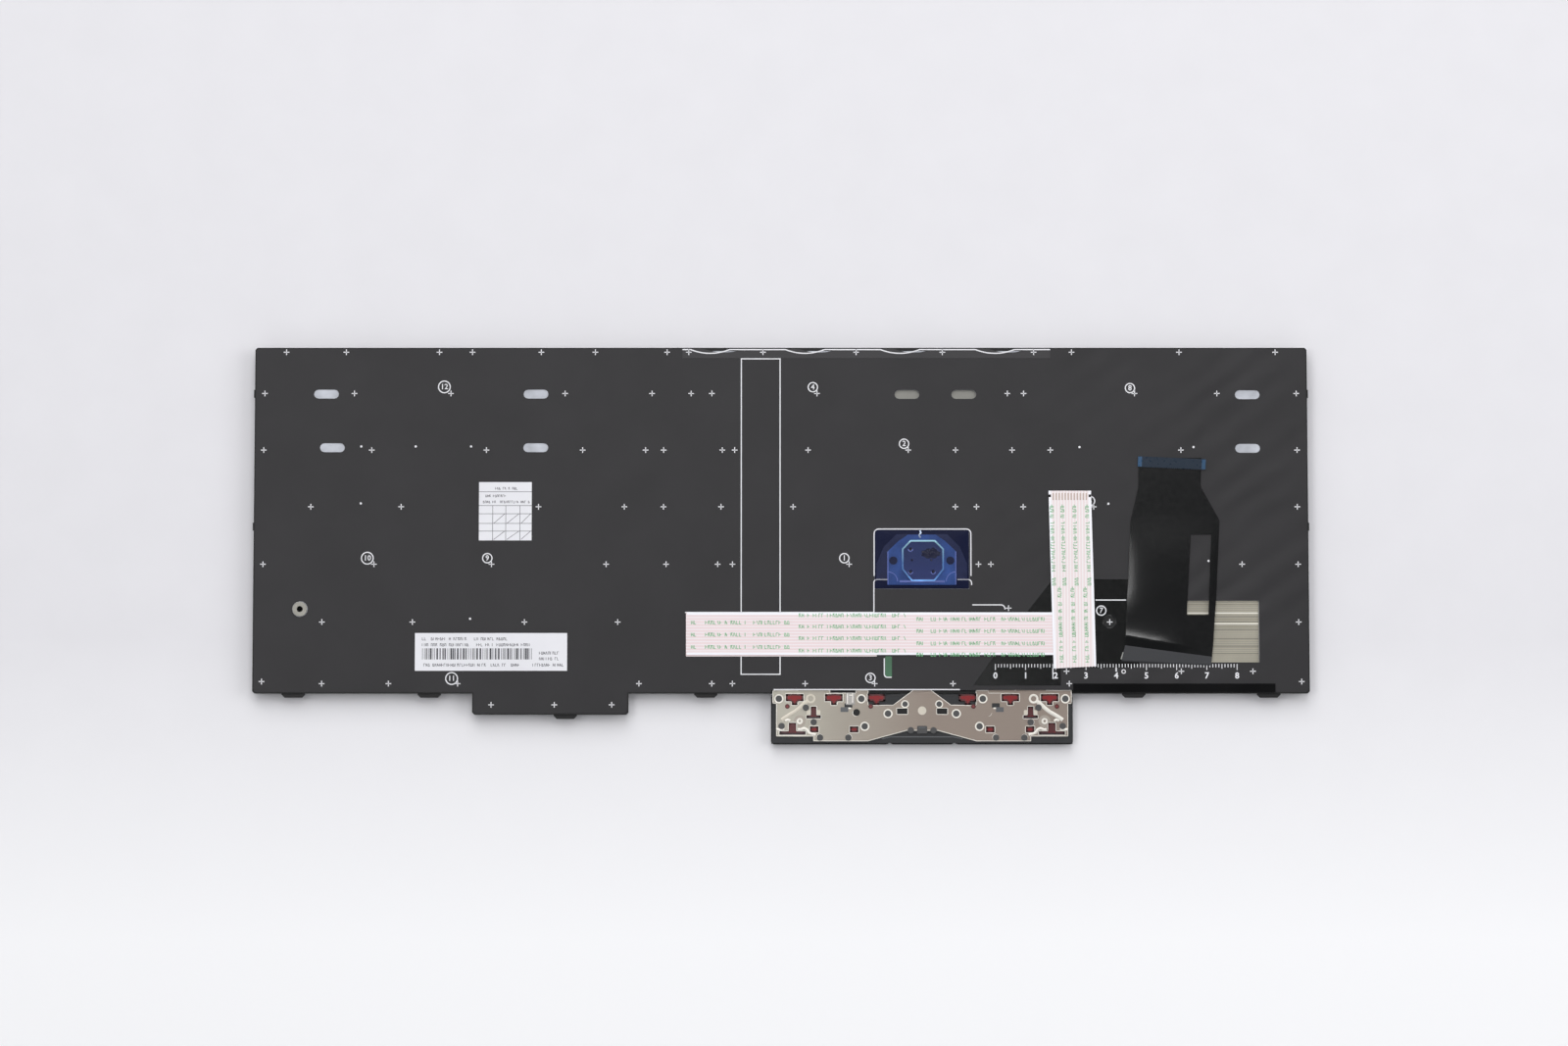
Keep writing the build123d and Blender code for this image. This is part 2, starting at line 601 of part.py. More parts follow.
with BuildPart() as label_long:
    with BuildSketch(level(FILM_Z)):
        draw_panel(LONG_LABEL_U, LONG_LABEL_V, LONG_LABEL_WIDTH, LONG_LABEL_LENGTH)
    extrude(amount=LABEL_THICKNESS)
label_long.part.label = "label_long"
export_step(label_long.part, "parts/label_long.step")

# Keyboard flex: a leaf on the membrane, a fold out of the plate's window and a tail up the rear
FLEX_NECK_V = 36.8
FLEX_FLARE_V = 46.5
FLEX_WIDE_V = 57.6
FLEX_Z = FILM_Z + FLEX_LIFT
FLEX_TOP_Z = FLEX_Z + FLEX_THICKNESS
FOLD_RADIUS = (FLEX_TOP_Z - PLATE_Z) / 2
FLEX_SLOT_WIDTH = 6.6
FLEX_SLOT_LENGTH = 26.7
FLEX_SLOT_U, FLEX_SLOT_V = FLEX_U - 12.0, 75.6


def flex_edge(v, half_width):
    """Gives the two edges of the flex tail at v; the tail leans towards its foot."""
    middle = FLEX_U - FLEX_LEAN * (FLEX_FOOT_V - v) / (FLEX_FOOT_V - FLEX_NECK_V)
    return spot(middle + half_width, v), spot(middle - half_width, v)


with BuildPart() as keyboard_flex:
    with BuildSketch(level(FLEX_Z)):
        rows = [flex_edge(FLEX_NECK_V, FLEX_NECK_WIDTH / 2), flex_edge(FLEX_FLARE_V, FLEX_NECK_WIDTH / 2),
                flex_edge(FLEX_WIDE_V, FLEX_WIDTH / 2), flex_edge(FLEX_FOOT_V, FLEX_WIDTH / 2)]
        Polygon(*[row[0] for row in rows], *[row[1] for row in reversed(rows)], align=None)
        draw_panel(FLEX_SLOT_U, FLEX_SLOT_V, FLEX_SLOT_WIDTH, FLEX_SLOT_LENGTH, Mode.SUBTRACT)
    extrude(amount=FLEX_THICKNESS)
    fold_x, fold_y = spot(FLEX_U - FLEX_LEAN / 2, FLEX_FOOT_V)
    with BuildSketch(Plane.YZ.offset(fold_x)):
        with Locations((fold_y, PLATE_Z + FOLD_RADIUS)):
            Circle(FOLD_RADIUS)
            Circle(FOLD_RADIUS - FLEX_THICKNESS, mode=Mode.SUBTRACT)
            Rectangle(FOLD_RADIUS, 2 * FOLD_RADIUS, align=(Align.MIN, Align.CENTER), mode=Mode.SUBTRACT)
        with Locations((fold_y, PLATE_Z)):
            Rectangle(FLEX_EXIT_LENGTH - 4 * FOLD_RADIUS, FLEX_THICKNESS, align=Align.MIN)
    extrude(amount=FLEX_LEAF_WIDTH / 2, both=True)
keyboard_flex.part.label = "keyboard_flex"
export_step(keyboard_flex.part, "parts/keyboard_flex.step")

# Stiffener on the end of the flex, a little askew
with BuildPart() as flex_stiffener:
    with BuildSketch(level(FLEX_TOP_Z)):
        with Locations(spot(FLEX_U - FLEX_LEAN + STIFFENER_SHIFT, FLEX_NECK_V + STIFFENER_LENGTH / 2)):
            width = FLEX_NECK_WIDTH + 2 * STIFFENER_OVERHANG
            Rectangle(width, STIFFENER_LENGTH, rotation=-STIFFENER_TILT)
    extrude(amount=STIFFENER_THICKNESS)
flex_stiffener.part.label = "flex_stiffener"
export_step(flex_stiffener.part, "parts/flex_stiffener.step")

# Flat cable: a lower leaf, a fold back over it and a rise to the contacts
CABLE_V = PLATE_LENGTH - 19.25
CABLE_END_U = STICK_U + 78.0
CABLE_RISE_U = CABLE_END_U - CABLE_RUN - CABLE_WIDTH / 2
CABLE_FOOT_V = CABLE_V + CABLE_WIDTH / 2 + 4.0
LOWER_LEAF_Z = FILM_Z
UPPER_LEAF_Z = LOWER_LEAF_Z + CABLE_THICKNESS + CABLE_GAP
RISE_LEAF_Z = UPPER_LEAF_Z + CABLE_THICKNESS
CABLE_FOLD = (RISE_LEAF_Z - LOWER_LEAF_Z) / 2

with BuildPart() as ffc_cable:
    with BuildSketch(level(LOWER_LEAF_Z)):
        draw_panel(CABLE_END_U - CABLE_RETURN / 2, CABLE_V, CABLE_RETURN, CABLE_WIDTH)
    extrude(amount=CABLE_THICKNESS)
    end_x, end_y = spot(CABLE_END_U, CABLE_V)
    with BuildSketch(Plane.XZ.offset(-end_y)):
        with Locations((end_x, LOWER_LEAF_Z + CABLE_FOLD)):
            Circle(CABLE_FOLD)
            Circle(CABLE_FOLD - CABLE_THICKNESS, mode=Mode.SUBTRACT)
            Rectangle(CABLE_FOLD, 2 * CABLE_FOLD, align=(Align.MIN, Align.CENTER), mode=Mode.SUBTRACT)
    extrude(amount=CABLE_WIDTH / 2, both=True)
    with BuildSketch(level(UPPER_LEAF_Z)):
        length = CABLE_RUN + CABLE_WIDTH
        draw_panel(CABLE_END_U - length / 2, CABLE_V, length, CABLE_WIDTH)
    extrude(amount=CABLE_THICKNESS)
    with BuildSketch(level(RISE_LEAF_Z)):
        foot_x, foot_y = spot(CABLE_RISE_U, CABLE_FOOT_V)
        half, lean, rise = CABLE_WIDTH / 2, CABLE_LEAN, CABLE_RISE
        Polygon((foot_x - half, foot_y), (foot_x + half, foot_y + lean / 2),
                (foot_x + half - lean, foot_y + rise), (foot_x - half - lean, foot_y + rise), align=None)
    extrude(amount=CABLE_THICKNESS)
ffc_cable.part.label = "ffc_cable"
export_step(ffc_cable.part, "parts/ffc_cable.step")

# Glossy film under the cable's corner and the flex, with one long curved side
COVER_FOOT_V = PLATE_LENGTH - 2.6
COVER_STEP_V = COVER_FOOT_V - 7.1
COVER_NEAR_TOP = 56.5, COVER_FOOT_V - 35.4
COVER_FAR_TOP = 85.6, COVER_FOOT_V - 33.3
COVER_BEND = 100.0, COVER_FOOT_V - 15.4
COVER_FAR_FOOT = 111.4, COVER_FOOT_V
COVER_NEAR_FOOT = 83.1, COVER_FOOT_V
COVER_STEP_U = 70.5

with BuildPart() as tail_cover_film:
    with BuildSketch(level(FILM_Z)):
        with BuildLine():
            start, end = spot(*COVER_FAR_TOP), spot(*COVER_FAR_FOOT)
            ThreePointArc(end, spot(*COVER_BEND), start)
            Polyline(start, spot(*COVER_NEAR_TOP), spot(COVER_NEAR_TOP[0], COVER_STEP_V),
                     spot(COVER_STEP_U, COVER_STEP_V), spot(*COVER_NEAR_FOOT), end)
        make_face()
    extrude(amount=COVER_THICKNESS)
tail_cover_film.part.label = "tail_cover_film"
export_step(tail_cover_film.part, "parts/tail_cover_film.step")

# Foam strip along the lower edge, from the end of the button module on
FOAM_U = STICK_U - MODULE_HALF_WIDTH - FOAM_LENGTH / 2

with BuildPart() as foam_strip:
    with BuildSketch(level(FILM_Z)):
        draw_panel(FOAM_U, PLATE_LENGTH - FILM_INSET - FOAM_WIDTH / 2, FOAM_LENGTH, FOAM_WIDTH)
    extrude(amount=FOAM_THICKNESS)
foam_strip.part.label = "foam_strip"
export_step(foam_strip.part, "parts/foam_strip.step")

# Pointing stick: carrier plate, sensor, rivets, post, cap and the clear film over them
CARRIER_Z = REAR_Z
SENSOR_Z = CARRIER_Z + CARRIER_THICKNESS
SENSOR_TOP_Z = SENSOR_Z + SENSOR_THICKNESS
STICK_PLACE = spot(STICK_U, STICK_V)

with BuildPart() as stick_carrier:
    with BuildSketch(level(CARRIER_Z)):
        with Locations(STICK_PLACE):
            half, low = CARRIER_WIDTH / 2, -CARRIER_LENGTH / 2
            Polygon((-half, low), (half, low), (half, -low - CARRIER_SHOULDER),
                    (half - CARRIER_SHOULDER, -low), (CARRIER_SHOULDER - half, -low),
                    (-half, -low - CARRIER_SHOULDER), align=None)
            with GridLocations(RIVET_PITCH, 0, 2, 1):
                draw_small_hole(RIVET_SHANK_RADIUS)
    extrude(amount=CARRIER_THICKNESS)
stick_carrier.part.label = "stick_carrier"
export_step(stick_carrier.part, "parts/stick_carrier.step")

with BuildPart() as stick_sensor:
    with BuildSketch(level(SENSOR_Z)) as octagon:
        with Locations(STICK_PLACE):
            Rectangle(SENSOR_WIDTH, SENSOR_WIDTH)
        chamfer(octagon.vertices(), SENSOR_CORNER)
        with Locations(STICK_PLACE):
            with GridLocations(SENSOR_HOLE_PITCH, SENSOR_HOLE_PITCH, 2, 2):
                draw_small_hole(SENSOR_HOLE_RADIUS)
    extrude(amount=SENSOR_THICKNESS)
stick_sensor.part.label = "stick_sensor"
export_step(stick_sensor.part, "parts/stick_sensor.step")

with BuildPart() as stick_rivets:
    with BuildSketch(level(SENSOR_Z)):
        with Locations(STICK_PLACE):
            with GridLocations(RIVET_PITCH, 0, 2, 1):
                draw_round(RIVET_HEAD_RADIUS)
    extrude(amount=RIVET_HEAD_HEIGHT)
    with BuildSketch(level(PLATE_Z)):
        with Locations(STICK_PLACE):
            with GridLocations(RIVET_PITCH, 0, 2, 1):
                draw_small_hole(RIVET_SHANK_RADIUS, Mode.ADD)
    extrude(amount=PLATE_THICKNESS + CARRIER_THICKNESS)
stick_rivets.part.label = "stick_rivets"
export_step(stick_rivets.part, "parts/stick_rivets.step")

STICK_CAP_TOP_Z = STICK_FLOOR_CLEARANCE + STICK_CAP_HEIGHT
STICK_SOCKET_Z = STICK_CAP_TOP_Z - STICK_POST_SOCKET

with BuildPart() as stick_post:
    with BuildSketch(level(MEMBRANE_Z)):
        with Locations(STICK_PLACE):
            draw_round(STICK_FOOT_RADIUS)
    extrude(amount=CARRIER_Z - MEMBRANE_Z)
    with BuildSketch(level(STICK_SOCKET_Z)):
        with Locations(STICK_PLACE):
            Rectangle(STICK_POST_WIDTH, STICK_POST_WIDTH)
    extrude(amount=MEMBRANE_Z - STICK_SOCKET_Z)
stick_post.part.label = "stick_post"
export_step(stick_post.part, "parts/stick_post.step")

with BuildPart() as stick_cap:
    with BuildSketch(level(STICK_CAP_TOP_Z)):
        with Locations(STICK_PLACE):
            draw_round(STICK_CAP_RADIUS)
    extrude(amount=-STICK_CAP_HEIGHT)
    chamfer(stick_cap.edges().group_by(Axis.Z)[0], STICK_CAP_HEIGHT / 4)
    with BuildSketch(level(STICK_SOCKET_Z)):
        with Locations(STICK_PLACE):
            Rectangle(STICK_POST_WIDTH, STICK_POST_WIDTH)
    extrude(amount=STICK_POST_SOCKET, mode=Mode.SUBTRACT)
stick_cap.part.label = "stick_cap"
export_step(stick_cap.part, "parts/stick_cap.step")

with BuildPart() as stick_film:
    for skin, mode in ((STICK_FILM_THICKNESS, Mode.ADD), (0, Mode.SUBTRACT)):
        inset = 3 * (STICK_FILM_THICKNESS - skin)
        with BuildSketch(level(REAR_Z)):
            draw_panel(STICK_U, STICK_WINDOW_V, STICK_WINDOW_WIDTH - 2 * inset,
                       STICK_WINDOW_LENGTH - 2 * inset)
        extrude(amount=SENSOR_TOP_Z - REAR_Z + skin, taper=STICK_FILM_SLOPE, mode=mode)
stick_film.part.label = "stick_film"
export_step(stick_film.part, "parts/stick_film.step")

# Button module. Places are (across, down) from the middle of the bracket's top edge, on one side.
# What is near the end or the lower edge keeps its distance from it, the rest from the middle button.
END, MIDDLE, FOOT = MODULE_HALF_WIDTH, MIDDLE_HALF_WIDTH, MODULE_LENGTH
HOOK_PLACES = (END - 7.8, MIDDLE + 18.6, MIDDLE + 4.5)
HOOK_BAR, HOOK_BAR_LENGTH, HOOK_STEM, HOOK_DOWN, HOOK_END = 5.9, 2.5, 1.9, 1.24, 5.0
SMALL_KEEPER_PLACE, SMALL_KEEPER_STEM, SMALL_KEEPER_BAR = END - 14.1, 1.9, 4.75
SMALL_KEEPER_DOWN, SMALL_KEEPER_END, SMALL_KEEPER_BAR_LENGTH = 5.4, 9.4, 1.1
LARGE_KEEPER_PLACE, LARGE_KEEPER_STEM, LARGE_KEEPER_BAR = END - 7.1, 2.5, 8.7
LARGE_KEEPER_DOWN, LARGE_KEEPER_END, LARGE_KEEPER_BAR_LENGTH = FOOT - 7.1, FOOT - 3.1, 1.2
PEG_DOWN, PEG_WIDTH, PEG_LENGTH = FOOT - 4.9, 2.9, 2.1
PEG_PLACES = (END - 14.3, MIDDLE + 11.9)
MIDDLE_PEG_PLACE, MIDDLE_PEG_DOWN, MIDDLE_PEG_WIDTH, MIDDLE_PEG_LENGTH = MIDDLE - 4.0, 7.0, 3.5, 1.9
STAKE_PLACES = ((END - 2.6, 2.9), (MIDDLE + 9.5, 2.9), (MIDDLE + 0.7, 7.8), (MIDDLE + 8.4, FOOT - 5.9),
                (MIDDLE - 4.95, 4.65))
HOLE_PLACES = ((END - 11.4, 5.7), (END - 14.0, FOOT - 7.3), (MIDDLE + 11.35, 7.6), (END - 3.5, FOOT - 6.9),
               (END - 16.15, FOOT - 2.3), (MIDDLE + 13.7, FOOT - 2.3))
NOTCH_NEAR, NOTCH_FAR, NOTCH_DOWN, NECK_FOOT = MIDDLE + 7.2, MIDDLE + 11.4, 4.9, MIDDLE - 1.0
SLOT_FAR, SLOT_DOWN, END_STEP, END_STEP_DOWN = MIDDLE + 19.8, 0.9, 1.2, 4.5
SIDE_DOWN, LIP_NEAR, LIP_FAR, LIP_DOWN = FOOT - 2.6, MIDDLE + 7.4, END - 14.0, FOOT - 1.0
MIDDLE_FLAT, MIDDLE_DOWN = MIDDLE - 5.5, FOOT - 4.5


def draw_block(across, down, end, width, mode):
    """Draws a rectangle on the module from down to end."""
    with Locations((across, -(down + end) / 2)):
        Rectangle(width, end - down, mode=mode)


def draw_bosses(side, grow, mode=Mode.ADD):
    """Draws the plan of one side's red bosses, grown on every side by grow."""
    for place in HOOK_PLACES:
        draw_block(side * place, HOOK_DOWN - grow, HOOK_DOWN + HOOK_BAR_LENGTH + grow,
                   HOOK_BAR + 2 * grow, mode)
        draw_block(side * place, HOOK_DOWN, HOOK_END + grow, HOOK_STEM + 2 * grow, mode)
    keepers = ((SMALL_KEEPER_PLACE, SMALL_KEEPER_DOWN, SMALL_KEEPER_END, SMALL_KEEPER_STEM,
                SMALL_KEEPER_BAR, SMALL_KEEPER_BAR_LENGTH),
               (LARGE_KEEPER_PLACE, LARGE_KEEPER_DOWN, LARGE_KEEPER_END, LARGE_KEEPER_STEM,
                LARGE_KEEPER_BAR, LARGE_KEEPER_BAR_LENGTH))
    for place, down, end, stem, bar, bar_length in keepers:
        draw_block(side * place, down - grow, end, stem + 2 * grow, mode)
        draw_block(side * place, end - bar_length - grow, end + grow, bar + 2 * grow, mode)
    for place in PEG_PLACES:
        draw_block(side * place, PEG_DOWN - PEG_LENGTH / 2 - grow, PEG_DOWN + PEG_LENGTH / 2 + grow,
                   PEG_WIDTH + 2 * grow, mode)


def draw_middle_pegs(grow, mode=Mode.ADD):
    """Draws the plan of the middle button's two pegs, grown on every side by grow."""
    half = MIDDLE_PEG_LENGTH / 2 + grow
    for side in (-1, 1):
        draw_block(side * MIDDLE_PEG_PLACE, MIDDLE_PEG_DOWN - half, MIDDLE_PEG_DOWN + half,
                   MIDDLE_PEG_WIDTH + 2 * grow, mode)


def both_sides(places):
    """Lists (across, down) places on both sides of the module as points of its plane."""
    return [(side * across, -down) for side in (-1, 1) for across, down in places]


# Bracket: stamped sheet with a neck, a notch beside it and stepped lower edges
with BuildPart() as button_bracket:
    with BuildSketch(module_plane(BRACKET_Z)):
        with BuildLine():
            top_edge = END - BRACKET_INSET
            side_edge = top_edge - END_STEP
            Polyline((0, 0), (BRACKET_NECK / 2, 0), (NECK_FOOT, -NOTCH_DOWN), (NOTCH_NEAR, -NOTCH_DOWN),
                     (NOTCH_NEAR, 0), (NOTCH_FAR, 0), (NOTCH_FAR, -SLOT_DOWN), (SLOT_FAR, -SLOT_DOWN),
                     (SLOT_FAR, 0), (top_edge, 0), (top_edge, -END_STEP_DOWN),
                     (side_edge, -END_STEP_DOWN), (side_edge, -SIDE_DOWN), (LIP_FAR, -SIDE_DOWN),
                     (LIP_FAR, -LIP_DOWN), (LIP_NEAR, -LIP_DOWN), (MIDDLE_FLAT, -MIDDLE_DOWN),
                     (0, -MIDDLE_DOWN), close=True)
        make_face()
        mirror(about=Plane.YZ)
        draw_block(0, -TONGUE_REACH, 0, BRACKET_NECK, Mode.ADD)
        for side in (-1, 1):
            draw_block(side * (END - TONGUE_INSET), -TONGUE_REACH, 0, TONGUE_WIDTH, Mode.ADD)
        for side in (-1, 1):
            draw_bosses(side, 0, Mode.SUBTRACT)
        draw_middle_pegs(0, Mode.SUBTRACT)
        with Locations(*both_sides(STAKE_PLACES)):
            draw_small_hole(STAKE_RADIUS + STAKE_FIT)
        with Locations(*both_sides(HOLE_PLACES)):
            draw_small_hole(HOLE_RADIUS)
    extrude(amount=BRACKET_THICKNESS)
button_bracket.part.label = "button_bracket"
export_step(button_bracket.part, "parts/button_bracket.step")

# Frame under the bracket, with posts that are staked through it
with BuildPart() as button_frame:
    with BuildSketch(module_plane(FRAME_Z)):
        frame_width = 2 * (MODULE_HALF_WIDTH - FRAME_INSET)
        draw_block(0, FRAME_TOP, MODULE_LENGTH - FRAME_INSET, frame_width, Mode.ADD)
        for side in (-1, 1):
            draw_bosses(side, 0, Mode.SUBTRACT)
        draw_middle_pegs(0, Mode.SUBTRACT)
    extrude(amount=FRAME_THICKNESS)
    with BuildSketch(module_plane(BRACKET_Z)):
        with Locations(*both_sides(STAKE_PLACES)):
            draw_small_hole(STAKE_RADIUS, Mode.ADD)
    extrude(amount=BRACKET_THICKNESS)
button_frame.part.label = "button_frame"
export_step(button_frame.part, "parts/button_frame.step")

# Switch board on the frame, between the rows of bosses
with BuildPart() as button_switch_board:
    with BuildSketch(module_plane(BOARD_Z)):
        draw_block(0, MIDDLE_PEG_DOWN + MIDDLE_PEG_LENGTH / 2 + BOARD_GAP,
                   PEG_DOWN - PEG_LENGTH / 2 - BOARD_GAP, 2 * (END - BOARD_INSET), Mode.ADD)
    extrude(amount=BOARD_THICKNESS)
button_switch_board.part.label = "button_switch_board"
export_step(button_switch_board.part, "parts/button_switch_board.step")


def add_button_shell(across, width):
    """Adds one hollow pointer button, touch face down, to the part being built."""
    with BuildSketch(module_plane(INSERT_Z)) as skirt:
        draw_block(across, BUTTON_EDGE, MODULE_LENGTH, width, Mode.ADD)
    extrude(skirt.sketch, amount=BUTTON_LIFT - INSERT_Z, taper=BUTTON_TAPER)
    with BuildSketch(module_plane(INSERT_Z)) as hollow:
        draw_block(across, BUTTON_EDGE + BUTTON_WALL, MODULE_LENGTH - BUTTON_WALL,
                   width - 2 * BUTTON_WALL, Mode.ADD)
    extrude(hollow.sketch, amount=BUTTON_LIFT + BUTTON_TOP - INSERT_Z, mode=Mode.SUBTRACT)


# Outer pointer buttons and the red inserts that hook them into the bracket
SIDE_BUTTON_WIDTH = MODULE_HALF_WIDTH - MIDDLE_HALF_WIDTH - BUTTON_GAP
SIDE_BUTTON_PLACE = MODULE_HALF_WIDTH - SIDE_BUTTON_WIDTH / 2
INSERT_MARGIN = 0.15

for side, name in ((1, "left_button"), (-1, "right_button")):
    with BuildPart() as side_button:
        add_button_shell(side * SIDE_BUTTON_PLACE, SIDE_BUTTON_WIDTH)
    side_button.part.label = name
    export_step(side_button.part, f"parts/{name}.step")

    with BuildPart() as button_insert:
        with BuildSketch(module_plane(INSERT_Z)):
            draw_block(side * SIDE_BUTTON_PLACE, BUTTON_EDGE + INSERT_MARGIN, MODULE_LENGTH - INSERT_MARGIN,
                       SIDE_BUTTON_WIDTH - 2 * INSERT_MARGIN, Mode.ADD)
        extrude(amount=INSERT_THICKNESS)
        with BuildSketch(module_plane(INSERT_Z)):
            draw_bosses(side, -BOSS_FIT)
        extrude(amount=BOSS_TOP_Z - INSERT_Z)
    button_insert.part.label = f"{name}_insert"
    export_step(button_insert.part, f"parts/{name}_insert.step")

# Middle pointer button with its two guide pegs
with BuildPart() as middle_button:
    add_button_shell(0, 2 * MIDDLE_HALF_WIDTH)
    with BuildSketch(module_plane(BUTTON_LIFT + BUTTON_TOP)):
        draw_middle_pegs(-BOSS_FIT)
    extrude(amount=BOSS_TOP_Z - BUTTON_LIFT - BUTTON_TOP)
middle_button.part.label = "middle_button"
export_step(middle_button.part, "parts/middle_button.step")
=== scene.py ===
"""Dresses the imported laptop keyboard: printed rear film, labels, flat cables, pointer module and keys.

Sizes and places are millimetres: X towards the Esc edge, Y towards the function row, Z out of the rear
face. Places on the rear are often given as (x, v), where v is measured from the function-row edge.
Meshes are written in metres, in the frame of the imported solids.
"""

from __future__ import annotations

import json
import logging
import math
from dataclasses import dataclass
from enum import Enum

import bpy
import numpy as np
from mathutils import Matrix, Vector

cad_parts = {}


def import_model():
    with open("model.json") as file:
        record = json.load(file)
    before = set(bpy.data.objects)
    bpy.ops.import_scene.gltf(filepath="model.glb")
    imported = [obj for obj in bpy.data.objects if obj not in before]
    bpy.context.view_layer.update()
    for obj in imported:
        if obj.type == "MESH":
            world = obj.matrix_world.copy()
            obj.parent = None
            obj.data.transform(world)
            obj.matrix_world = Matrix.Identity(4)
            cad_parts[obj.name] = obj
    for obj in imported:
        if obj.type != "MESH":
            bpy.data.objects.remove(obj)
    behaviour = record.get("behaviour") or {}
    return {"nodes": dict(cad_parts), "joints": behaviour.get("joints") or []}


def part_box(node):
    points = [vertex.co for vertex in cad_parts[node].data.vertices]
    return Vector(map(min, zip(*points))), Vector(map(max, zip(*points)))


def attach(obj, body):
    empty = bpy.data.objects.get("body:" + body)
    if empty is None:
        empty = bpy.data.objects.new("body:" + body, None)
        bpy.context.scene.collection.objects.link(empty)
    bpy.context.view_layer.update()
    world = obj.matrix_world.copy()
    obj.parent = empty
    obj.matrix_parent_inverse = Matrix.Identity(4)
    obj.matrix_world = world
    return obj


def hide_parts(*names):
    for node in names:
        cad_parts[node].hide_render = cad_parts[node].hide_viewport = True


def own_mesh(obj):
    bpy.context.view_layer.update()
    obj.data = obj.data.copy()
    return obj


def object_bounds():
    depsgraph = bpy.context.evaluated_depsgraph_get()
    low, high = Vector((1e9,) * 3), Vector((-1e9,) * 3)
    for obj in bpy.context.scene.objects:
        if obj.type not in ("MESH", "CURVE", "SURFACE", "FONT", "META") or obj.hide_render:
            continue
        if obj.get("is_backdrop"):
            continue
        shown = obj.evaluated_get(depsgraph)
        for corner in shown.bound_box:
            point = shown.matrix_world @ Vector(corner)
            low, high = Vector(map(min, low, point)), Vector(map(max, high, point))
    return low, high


MM = 0.001
CHASSIS = "chassis"
LOG = logging.getLogger("keyboard")
Array = np.ndarray
Level = tuple[int, int, int]
UP = np.array([[0.0, 0.0, 1.0]])


@dataclass
class Shape:
    """A surface in millimetres: points, groups of faces of one size, and each group's finish number."""

    points: Array
    faces: list[Array]
    tones: list[int]

    def painted(self, tone: int) -> Shape:
        """Gives the shape with every face in one finish."""
        return Shape(self.points, self.faces, [tone] * len(self.faces))

    def moved(self, x: float = 0.0, y: float = 0.0, z: float = 0.0) -> Shape:
        """Gives the shape moved by x, y and z."""
        return Shape(self.points + np.array([x, y, z]), self.faces, self.tones)

    def turned_over(self) -> Shape:
        """Gives the shape turned half round the Y axis, so that its front faces down."""
        return Shape(self.points * np.array([-1.0, 1.0, -1.0]), self.faces, self.tones)

    def scattered(self, places: Array) -> Shape:
        """Repeats the shape.

        Args:
            places: one (x, y) or (x, y, z) for each copy.

        Returns:
            One shape that holds every copy.
        """
        places = np.asarray(places, float)
        offsets = np.zeros((len(places), 3))
        offsets[:, : places.shape[1]] = places
        points = (offsets[:, None] + self.points[None]).reshape(-1, 3)
        step = (np.arange(len(places)) * len(self.points))[:, None, None]
        faces = [(step + group[None]).reshape(-1, group.shape[1]) for group in self.faces]
        return Shape(points, faces, list(self.tones))


def join(*shapes: Shape) -> Shape:
    """Joins shapes into one."""
    starts = np.cumsum([0] + [len(shape.points) for shape in shapes])
    return Shape(
        np.concatenate([shape.points for shape in shapes]),
        [group + start for shape, start in zip(shapes, starts) for group in shape.faces],
        [tone for shape in shapes for tone in shape.tones],
    )


def ring_quads(rows: int, columns: int, looped: bool = False) -> Array:
    """Numbers the quads between rows of points that each close on themselves.

    Args:
        rows: how many rows of points there are.
        columns: how many points each row has.
        looped: whether the last row joins the first.

    Returns:
        Four point numbers for each quad.
    """
    row = np.arange(rows if looped else rows - 1)[:, None]
    after = (row + 1) % rows
    near = np.arange(columns)[None]
    far = (near + 1) % columns
    corners = [row * columns + near, row * columns + far, after * columns + far, after * columns + near]
    return np.stack(corners, -1).reshape(-1, 4)


def loft(rings: Array) -> Shape:
    """Skins a stack of rings, anticlockwise seen from above, and closes both ends."""
    rows, columns = rings.shape[:2]
    ends = np.arange(columns)[None]
    faces = [ring_quads(rows, columns), ends[:, ::-1], ends + (rows - 1) * columns]
    return Shape(rings.reshape(-1, 3), faces, [0, 0, 0])


def rounded(width: float, length: float, radius: float, steps: int = 5) -> Array:
    """Gives the outline of a rectangle whose corners are quarter circles, anticlockwise."""
    turn = (np.arange(4)[:, None] + np.linspace(0, 1, steps)[None]) * math.pi / 2
    middles = np.array([[1, 1], [-1, 1], [-1, -1], [1, -1]]) * (np.array([width, length]) / 2 - radius)
    arcs = radius * np.stack([np.cos(turn), np.sin(turn)], -1)
    return (middles[:, None] + arcs).reshape(-1, 2)


def oval(width: float, length: float, sides: int = 24) -> Array:
    """Gives the outline of an ellipse, anticlockwise."""
    turn = np.arange(sides) * 2 * math.pi / sides
    return np.stack([np.cos(turn) * width / 2, np.sin(turn) * length / 2], -1)


def between(ends: tuple, share: Array) -> Array:
    """Gives what lies this share of the way from the first end to the second."""
    return ends[0] + (ends[1] - ends[0]) * share


def centre(boxes: Array) -> Array:
    """Gives the middle of an (x0, y0, x1, y1) box, or of each of several."""
    return (boxes[..., :2] + boxes[..., 2:]) / 2


def directions(path: Array, closed: bool) -> Array:
    """Gives the unit direction of each step of a path; an open path's last step repeats the one before."""
    run = np.roll(path, -1, 0) - path
    if not closed:
        run[-1] = run[-2]
    return run / np.linalg.norm(run, axis=1, keepdims=True)


def mitres(path: Array, closed: bool) -> Array:
    """Gives, at each point of a path, the step to its left that moves both sides there by one."""
    run = directions(path, closed)
    left = np.stack([-run[:, 1], run[:, 0]], -1)
    before = np.roll(left, 1, 0)
    if not closed:
        before[0] = left[0]
    return (left + before) / (1 + np.sum(left * before, 1, keepdims=True))


def raised(outline: Array, z: float) -> Array:
    """Puts a flat outline at height z."""
    return np.column_stack([outline, np.full(len(outline), z)])


